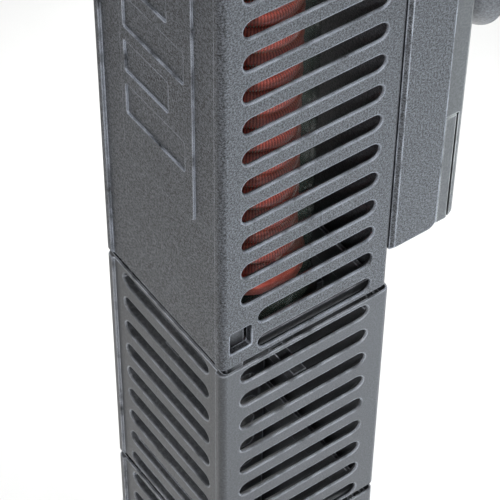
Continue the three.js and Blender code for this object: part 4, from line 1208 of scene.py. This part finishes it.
# %% [markdown]
# The control head is two black shells on a gasket. Its outside is one stack with a round top edge,
# shared by both shells and cut at the gasket. The rear shell carries the screw bosses, the spigot that
# holds the guard, the ears of the set-point lever and the hole of the cable gland.

# %% Head shells
HEAD_LOW, HEAD_TOP = HEAD_FRONT[0].z, HEAD_FRONT[1].z
HEAD_WALL = 2.0
TOP_EDGE = 2.4
BOSS_R = 3.4
EAR_R, EAR_OFFSET = 3.2, 4.4
REAR_Y, FRONT_END_Y = HEAD[0].y, HEAD_FRONT[1].y
HEAD_INSIDE = HALF_W - HEAD_WALL
SCREW_SPOTS = [(middle(n).x, middle(n).z) for n in HEAD_SCREWS]
LEVER_PIN, GLAND, PROBE = [middle(n) for n in ("lever_pin", "cable_gland", "sensor_probe")]
LEVER_SPOT, GLAND_SPOT, PROBE_SPOT = [(0, LEVER_PIN.z)], [(GLAND.x, GLAND.y)], [(PROBE.x, PROBE.y)]


def head_part(name, y0, y1):
    """The hollow head between two planes of Y."""
    layers = [(0.4, HEAD_LOW), (0.12, HEAD_LOW + 0.12), (0.0, HEAD_LOW + 0.4)]
    angles = [math.pi / 2 * k / 8 for k in range(9)]
    layers += [(TOP_EDGE * (1 - math.cos(a)), HEAD_TOP - TOP_EDGE * (1 - math.sin(a))) for a in angles]
    shell = stack(name, (-HALF_W, HALF_W, FRONT_Y, UPPER_BACK_Y), layers, TOP_EDGE, 0.5, 10)
    worked(shell, "INTERSECT", [block("slice", -30, 30, y0, y1, HEAD_LOW - 5, HEAD_TOP + 5)])
    room = straight(HEAD_LOW + 3, HEAD_TOP - HEAD_WALL - 0.4)
    return cut(shell, stack("cavity", (-HEAD_INSIDE, HEAD_INSIDE, FRONT_Y + HEAD_WALL,
                                       UPPER_BACK_Y - HEAD_WALL), room, 1.0))


def screw_holes(radius, y0, y1):
    return pins("hole", radius, y0, y1, "y", SCREW_SPOTS, 40)


spigot = stack("spigot", plug_box(UPPER_BACK_Y), [(0.3, HEAD[0].z), (0.0, HEAD[0].z + 0.5),
                                                  (0.0, HEAD_LOW + 1)], 0.8)
spigot = cut(spigot, block("room", *plug_box(UPPER_BACK_Y, 1.5), HEAD[0].z - 1, HEAD_LOW + 0.2),
             block("front part", -30, 30, -30, REAR_Y, HEAD[0].z - 1, HEAD_LOW + 5))
ears = []
for y in (LEVER_PIN.y - EAR_OFFSET, LEVER_PIN.y + EAR_OFFSET):
    ears += pins("ear", EAR_R, y - 1, y + 1, "y", LEVER_SPOT, 48)
    ears.append(block("ear foot", -EAR_R, EAR_R, y - 1, y + 1, HEAD_TOP - 1, LEVER_PIN.z))
rear = head_part("head_rear_body", REAR_Y, 30)
rear = join(rear, *screw_holes(BOSS_R, REAR_Y, UPPER_BACK_Y - 1), spigot, *ears)
rear = cut(rear, *pins("tube hole", TUBE_R + GAP, HEAD_LOW - 10, HEAD_LOW + 10, "z", [(0, 0)], 96),
           *pins("probe hole", 2.4, HEAD_LOW - 10, HEAD_LOW + 10, "z", PROBE_SPOT, 40),
           *pins("lever hole", 1.3, -20, 10, "y", LEVER_SPOT),
           *pins("gland hole", 4.3, HEAD_TOP - 6, HEAD_TOP + 9, "z", GLAND_SPOT, 48),
           *screw_holes(1.6, -30, 30), *screw_holes(3.0, UPPER_BACK_Y - 3, 30))
finish_piece(rear, HEAD_PLASTIC, "head_rear_shell")

# %% [markdown]
# The front shell frames a smoked window over the display. The opening is stepped, so that the window
# sits flush, and its mouth is rounded like the slots of the guard.

# %% Front shell, gasket and window
low, high = span("display_window")
PANE = (-high.x, high.x, low.z, high.z)
PANE_RIM = 0.9
OPENING = high.x - PANE_RIM


def seat_outline(g):
    left, right, lower, upper = PANE
    room = GAP + g
    return rounded_rect(left - room, right + room, lower - room, upper + room, PANE_RIM + g, 6)


front = head_part("head_front_body", -30, FRONT_END_Y)
front = join(front, *screw_holes(BOSS_R, FRONT_Y + 1, FRONT_END_Y))
seat = lipped_cutter("window seat", seat_outline, on_y, FRONT_Y, FRONT_Y + 1.2, lip=0.3, far_lip=False)
opening = block("opening", -OPENING, OPENING, -30, -10, low.z + PANE_RIM, high.z - PANE_RIM)
finish_piece(cut(front, seat, opening, *screw_holes(1.6, FRONT_Y + 2, 0)), HEAD_PLASTIC, "head_front_bezel")

pane = stack("display_window_pane", PANE, [(0.15, low.y), (0.0, low.y + 0.15), (0.0, low.y + 0.8)], 0.8,
             steps=6, plane=on_y)
pane = join(pane, block("inner step", -OPENING + GAP, OPENING - GAP, low.y + 0.7, high.y, low.z + 1.2,
                        high.z - 1.2))
finish_piece(pane, WINDOW, "display_window")

low, high = span("head_gasket")
gasket = cut(filled("head_gasket_band", "head_gasket"),
             block("room", -HEAD_INSIDE, HEAD_INSIDE, low.y - 1, high.y + 1, HEAD_LOW + 3, HEAD_TOP - 4.6))
gasket = cut(join(gasket, *screw_holes(BOSS_R, low.y, high.y)), *screw_holes(1.7, -30, 0))
finish_piece(gasket, SEAL_RUBBER, "head_gasket")

# %% [markdown]
# Behind the window is a plain liquid-crystal panel. Its figures are seven bars each, and a table of
# letters says which bars a figure uses, so another reading is one word away.

# %% Display and its figures
READING = "250"
FIGURE_BARS = {"2": "abged", "5": "afgcd", "0": "abcdef"}
FIGURE_PITCH, BAR_LENGTH, BAR_HALF_T = 6.4, 4.2, 0.45
BAR_PLACE = {"a": (0, 1, True), "g": (0, 0, True), "d": (0, -1, True), "f": (-0.5, 0.5, False),
             "b": (0.5, 0.5, False), "e": (-0.5, -0.5, False), "c": (0.5, -0.5, False)}

low, high = span("lcd_panel")
panel = block("lcd_panel_glass", low.x, high.x, low.y + 0.06, high.y, low.z, high.z)
finish_piece(panel, LCD, "lcd_panel", bevel=0.15)


def figure_bar(x, z, flat):
    """Six-sided bar, pointed at both ends, standing just proud of the panel."""
    long, thick = BAR_LENGTH / 2 - 0.15, BAR_HALF_T
    outline = [(-long, 0), (-long + thick, -thick), (long - thick, -thick), (long, 0), (long - thick, thick),
               (-long + thick, thick)]
    outline = [(x + u, z + v) if flat else (x + v, z + u) for u, v in outline]
    return loft("bar", [on_y(outline, low.y), on_y(outline, low.y + 0.12)])


figures = []
for place, figure in enumerate(READING):
    for bar in FIGURE_BARS[figure]:
        dx, dz, flat = BAR_PLACE[bar]
        figures.append(figure_bar((place - 1) * FIGURE_PITCH + dx * BAR_LENGTH,
                                  middle("lcd_panel").z + dz * BAR_LENGTH, flat))
digits = join(*figures)
digits.name = "lcd_figures"
settle(smooth(digits), INK)

# %% [markdown]
# The boards carry what such a heater needs: a power switch on a heat spreader, a few capacitors, a relay
# and small chips. Each is a block or a turned can, so two short lists are enough.

# %% Boards and what stands on them
CANS = [(-9.0, 228.0, 3.1, 9.0), (-2.0, 229.0, 2.5, 7.0), (4.0, 229.5, 2.0, 6.0)]  # x, z, radius, height
CHIPS = [(-9.0, 214.0, 8.0, 9.0, 6.5), (3.0, 214.0, 9.0, 5.0, 1.6), (10.5, 224.0, 3.4, 3.4, 1.4),
         (10.5, 232.0, 3.4, 5.0, 1.4)]  # x, z, width, length, height

for node_name in ("display_board", "control_board"):
    low, high = span(node_name)
    holes = pins("board hole", 1.1, low.y - 1, high.y + 1, "y", [(x, high.z - 2.5) for x in
                                                                 (low.x + 2.5, high.x - 2.5)])
    finish_piece(cut(filled(f"{node_name}_laminate", node_name), *holes), BOARD, node_name, bevel=0.1)

face = span("control_board")[0].y
foot = face - 0.02
parts = []
for x, z, radius, tall in CANS:
    profile = [(0, face - tall)] + arc(radius - 0.5, face - tall + 0.5, 0.5, -90, 0, 5)
    profile += [(radius, face - 1.4), (radius - 0.25, face - 1.1), (radius, face - 0.8), (radius, foot),
                (0, foot)]
    parts.append(turned("can", profile, 40, "y", (x, 0, z)))
for x, z, wide, long, tall in CHIPS:
    parts.append(block("chip", x - wide / 2, x + wide / 2, face - tall, foot, z - long / 2, z + long / 2))
parts = join(*parts)
parts.name = "board_parts"
settle(smooth(parts, bevel=0.15), CHIP)

low, high = span("power_triac")
switch = join(block("power_switch", low.x, high.x, low.y, high.y, low.z, low.z + 15),
              block("tab", low.x, high.x, high.y - 1.4, high.y, low.z + 14, high.z))
switch = cut(switch, *pins("tab hole", 1.8, high.y - 3, high.y + 1, "y", [(0, high.z - 3.4)]))
finish_piece(switch, CHIP, "power_triac", bevel=0.25)
low, high = span("heat_spreader")
grooves = [block("groove", x - 0.4, x + 0.4, high.y - 0.5, high.y + 1, low.z - 1, high.z + 1)
           for x in (-9, -6, -3, 3, 6, 9)]
spreader = cut(filled("heat_spreader_plate", "heat_spreader"),
               *pins("screw hole", 1.7, low.y - 1, high.y + 1, "y", [(0, 217)]), *grooves)
finish_piece(spreader, STEEL, "heat_spreader", bevel=0.15)

# %% [markdown]
# A collar and a rubber ring clamp the mouth of the tube inside the head. A probe hangs down into the
# guard, and the cable gland stands on top: a six-sided foot, a round nut with grip ribs, a rubber ring.

# %% Collar, ring, probe and gland
GLAND_BORE, GLAND_SOFT = 3.9, 0.7
NUT_R, NUT_EDGE, NUT_GRIPS = 6.6, 1.6, 18
GLAND_CENTRE = (GLAND.x, GLAND.y, 0)


def around_gland(radius, step):
    """Places on a circle around the gland, one for every step of degrees."""
    angles = [math.radians(step * k) for k in range(360 // step)]
    return [(GLAND.x + radius * math.cos(a), GLAND.y + radius * math.sin(a)) for a in angles]


low, high = span("tube_collar")
collar = turned("tube_collar_ring", ring_profile(TUBE_R + GAP, high.x, low.z, high.z, 0.6), 96)
finish_piece(collar, HEAD_PLASTIC, "tube_collar", ROUND)
low, high = span("tube_o_ring")
thick = (high.z - low.z) / 2
ring = turned("tube_o_ring_soft", arc(high.x - thick, middle("tube_o_ring").z, thick, 0, 345, 23), 96)
finish_piece(ring, SEAL_RUBBER, "tube_o_ring", 60)
low, high = span("sensor_probe")
radius, top = (high.x - low.x) / 2, high.z
sleeve = dome(radius, low.z + radius, 10)
sleeve += [(radius, top - 3), (radius - 0.2, top - 2.8), (radius - 0.2, top - 2.2), (radius, top - 2),
           (radius, top), (0, top)]
probe = turned("sensor_probe_sleeve", sleeve, 48, centre=(PROBE.x, PROBE.y, 0))
finish_piece(probe, STEEL, "sensor_probe", ROUND)

low, high = span("cable_gland")
hexagon = [(GLAND.x + v - GLAND.y, GLAND.y + u - GLAND.x) for u, v in around_gland(NUT_R + 1, 60)]
foot = loft("cable_gland_body", [on_z(hexagon, z) for z in (HEAD_TOP + GAP, HEAD_TOP + 4)])
nut_low, nut_top = HEAD_TOP + 3.5, high.z
nut = [(0, nut_low), (NUT_R, nut_low), (NUT_R, nut_top - 2.2)]
nut += arc(NUT_R - NUT_EDGE, nut_top - NUT_EDGE, NUT_EDGE, 20, 90, 8) + [(0, nut_top)]
gland = join(foot, turned("nut", nut, 96, centre=GLAND_CENTRE),
             *pins("neck", 4.0, low.z, HEAD_TOP + 1, "z", GLAND_SPOT, 48))
gland = cut(gland, *pins("grip", 0.45, nut_low + 0.8, nut_top + 1, "z",
                         around_gland(NUT_R + 0.15, 360 // NUT_GRIPS), 12))
gland = cut(gland, *pins("cord hole", GLAND_BORE, low.z - 1, high.z + 1, "z", GLAND_SPOT, 64),
            *pins("ring room", 5.0, HEAD_TOP + 5, HEAD_TOP + 9, "z", GLAND_SPOT, 64))
finish_piece(gland, HEAD_PLASTIC, "cable_gland")
low, high = span("gland_seal")
outer, grip = (high.x - low.x) / 2, GLAND_BORE - GLAND_SOFT
bulge = [(grip + 0.25 - 0.25 * math.sin(math.pi * t), high.z - (high.z - low.z) * t)
         for t in (k / 6 for k in range(7))]
seal = turned("gland_seal_ring", [(outer, low.z), (outer, high.z), *bulge], centre=GLAND_CENTRE)
finish_piece(seal, SEAL_RUBBER, "gland_seal", SOFT)

# %% [markdown]
# The set-point lever turns on a pin between the two ears. A weak spring centres it and a magnet in its
# foot tells the sealed board where it stands. Both springs are real helices from the winding tree.

# %% Lever and springs
low, high = span("lever")
hub = turned("lever_arm", rod_profile(EAR_R, low.y, high.y, 0.3), 64, "y", (0, 0, LEVER_PIN.z))
arm = stack("arm", (-1.6, 1.6, LEVER_PIN.z, high.z), straight(low.y, high.y), 1.5, plane=on_y)
rib_spots = [(x, high.z - 2.2 - 1.1 * k) for x in (-1.8, 1.8) for k in range(3)]
foot = block("foot", -2.6, 2.6, LEVER_PIN.y - 2, LEVER_PIN.y + 2, low.z, LEVER_PIN.z - 2)
lever = cut(join(hub, arm, foot), *pins("pin hole", 1.3, -30, 10, "y", LEVER_SPOT),
            block("magnet room", -1.9, 1.9, low.y - 1, high.y + 1, low.z - 1, LEVER_PIN.z - 3.4),
            *pins("spring room", 2.4, LEVER_PIN.y + 1.2, high.y + 1, "y", LEVER_SPOT),
            *pins("rib", 0.35, low.y - 1, high.y + 1, "y", rib_spots, 16))
finish_piece(lever, HEAD_PLASTIC, "lever")
finish_piece(filled("lever_magnet_bar", "lever_magnet"), STEEL, "lever_magnet", bevel=0.15)
low, high = span("lever_pin")
shaft = rod_profile((high.z - low.z) / 2, low.y, high.y, 0.25)
finish_piece(turned("lever_pin_shaft", shaft, 40, "y", (0, 0, LEVER_PIN.z)), STEEL, "lever_pin", ROUND)


def helix(name, node_name, axis, wire, turns):
    """Coil spring of round wire that fills the envelope of a CAD node, upright or along Y."""
    low, high = span(node_name)
    size = high - low
    long = size["xyz".index(axis)]
    spring = wound(name, SPRING_STEEL, turns=turns, radius=size.x / 2 - wire, start=-long / 2 + wire,
                   height=long - 2 * wire, points_per_turn=32, half_depth=wire, half_height=wire, ridge=0.0,
                   sides=10)
    tilt = Matrix.Rotation(math.pi / 2, 4, "X") if axis == "y" else Matrix.Identity(4)
    spring.data.transform(Matrix.Translation(middle(node_name)) @ tilt)
    settle(spring, SPRING_STEEL, node_name)


helix("lever_spring_coil", "lever_spring", "y", 0.2, 2.5)
helix("release_spring_coil", "release_spring", "z", 0.35, 6.0)
print("pieces made:", len(made_pieces), "for", len(frame["nodes"]), "CAD nodes")

# %% [markdown]
# The stage is plain: pale paper under the object, a small key light below the camera that also reaches
# through the slots, large soft lights from the right and from behind, and two pools of light on the
# paper, one behind the object and one whose bounce gives its right side a sheen.

# %% Stage, lights and camera
FLOOR_REACH = 6.0
POOL_HEIGHT = 1.8
FOCUS = TO_FRAME @ Vector((0.0, 0.0, 30.0))
WORLD_COLOUR, WORLD_STRENGTH = (0.95, 0.97, 1.0, 1.0), 0.26
CAMERA_MM = (231.3, -167.5, 317.8)  # where the lens stands, in heater millimetres
VIEW_AZIMUTH, VIEW_ELEVATION, VIEW_ROLL, LENS = 53.98, 47.55, 0.69, 156.5


def add_floor():
    ends = (-FLOOR_REACH, FLOOR_REACH)
    mesh = bpy.data.meshes.new("floor")
    mesh.from_pydata([(x, y, cad_box[0][2] - 0.0002) for y in ends for x in ends], [], [(0, 1, 3, 2)])
    mesh.materials.append(PAPER)
    show("floor", mesh)


def direction(azimuth, elevation):
    """Unit vector towards a place around the object; azimuth 0 is the front, 90 the right."""
    a, e = math.radians(azimuth), math.radians(elevation)
    return Vector((math.sin(a) * math.cos(e), -math.cos(a) * math.cos(e), math.sin(e)))


def area_light(name, azimuth, elevation, distance, size, watts):
    lamp = bpy.data.lights.new(name, "AREA")
    lamp.size = size
    lamp.energy = watts
    towards = direction(azimuth, elevation)
    made = show(name, lamp)
    made.location = FOCUS + towards * distance
    made.rotation_euler = towards.to_track_quat("Z", "Y").to_euler()


def floor_lamp(name, centre, radius, watts, colour):
    """Soft round pool of light on the floor, from straight above."""
    lamp = bpy.data.lights.new(name, "SPOT")
    lamp.energy = watts
    lamp.color = colour
    lamp.shadow_soft_size = 0.12
    lamp.spot_size = 2 * math.atan(radius / POOL_HEIGHT)
    lamp.spot_blend = 0.6
    show(name, lamp).location = (*centre, cad_box[0][2] + POOL_HEIGHT)


add_floor()
area_light("key", 46.0, 37.1, 0.426, 0.025, 1.2)
area_light("side", 98.0, 32.0, 1.2, 0.7, 1.9)
area_light("back", 215.0, 30.0, 1.4, 1.0, 7.0)
floor_lamp("left pool", (-0.105, 0.05), 0.20, 120.0, (1.0, 1.0, 1.0))
floor_lamp("right pool", (0.22, 0.09), 0.20, 330.0, (0.85, 0.95, 1.08))

world = bpy.data.worlds.new("studio")
bpy.context.scene.world = world
world.use_nodes = True
air = world.node_tree
fill(air, air.nodes["Background"], {"Color": WORLD_COLOUR, "Strength": WORLD_STRENGTH})

camera = bpy.data.cameras.new("camera")
camera.sensor_width = 36.0
camera.lens = LENS
viewer = show("camera", camera)
back = direction(VIEW_AZIMUTH, VIEW_ELEVATION)
level = Vector((0, 0, 1)).cross(back).normalized()
right = Matrix.Rotation(math.radians(VIEW_ROLL), 3, back) @ level
pose = Matrix((right, back.cross(right), back)).transposed().to_4x4()
pose.translation = TO_FRAME @ Vector(CAMERA_MM)
viewer.matrix_world = pose
bpy.context.scene.camera = viewer
bpy.context.scene.view_settings.view_transform = "Standard"
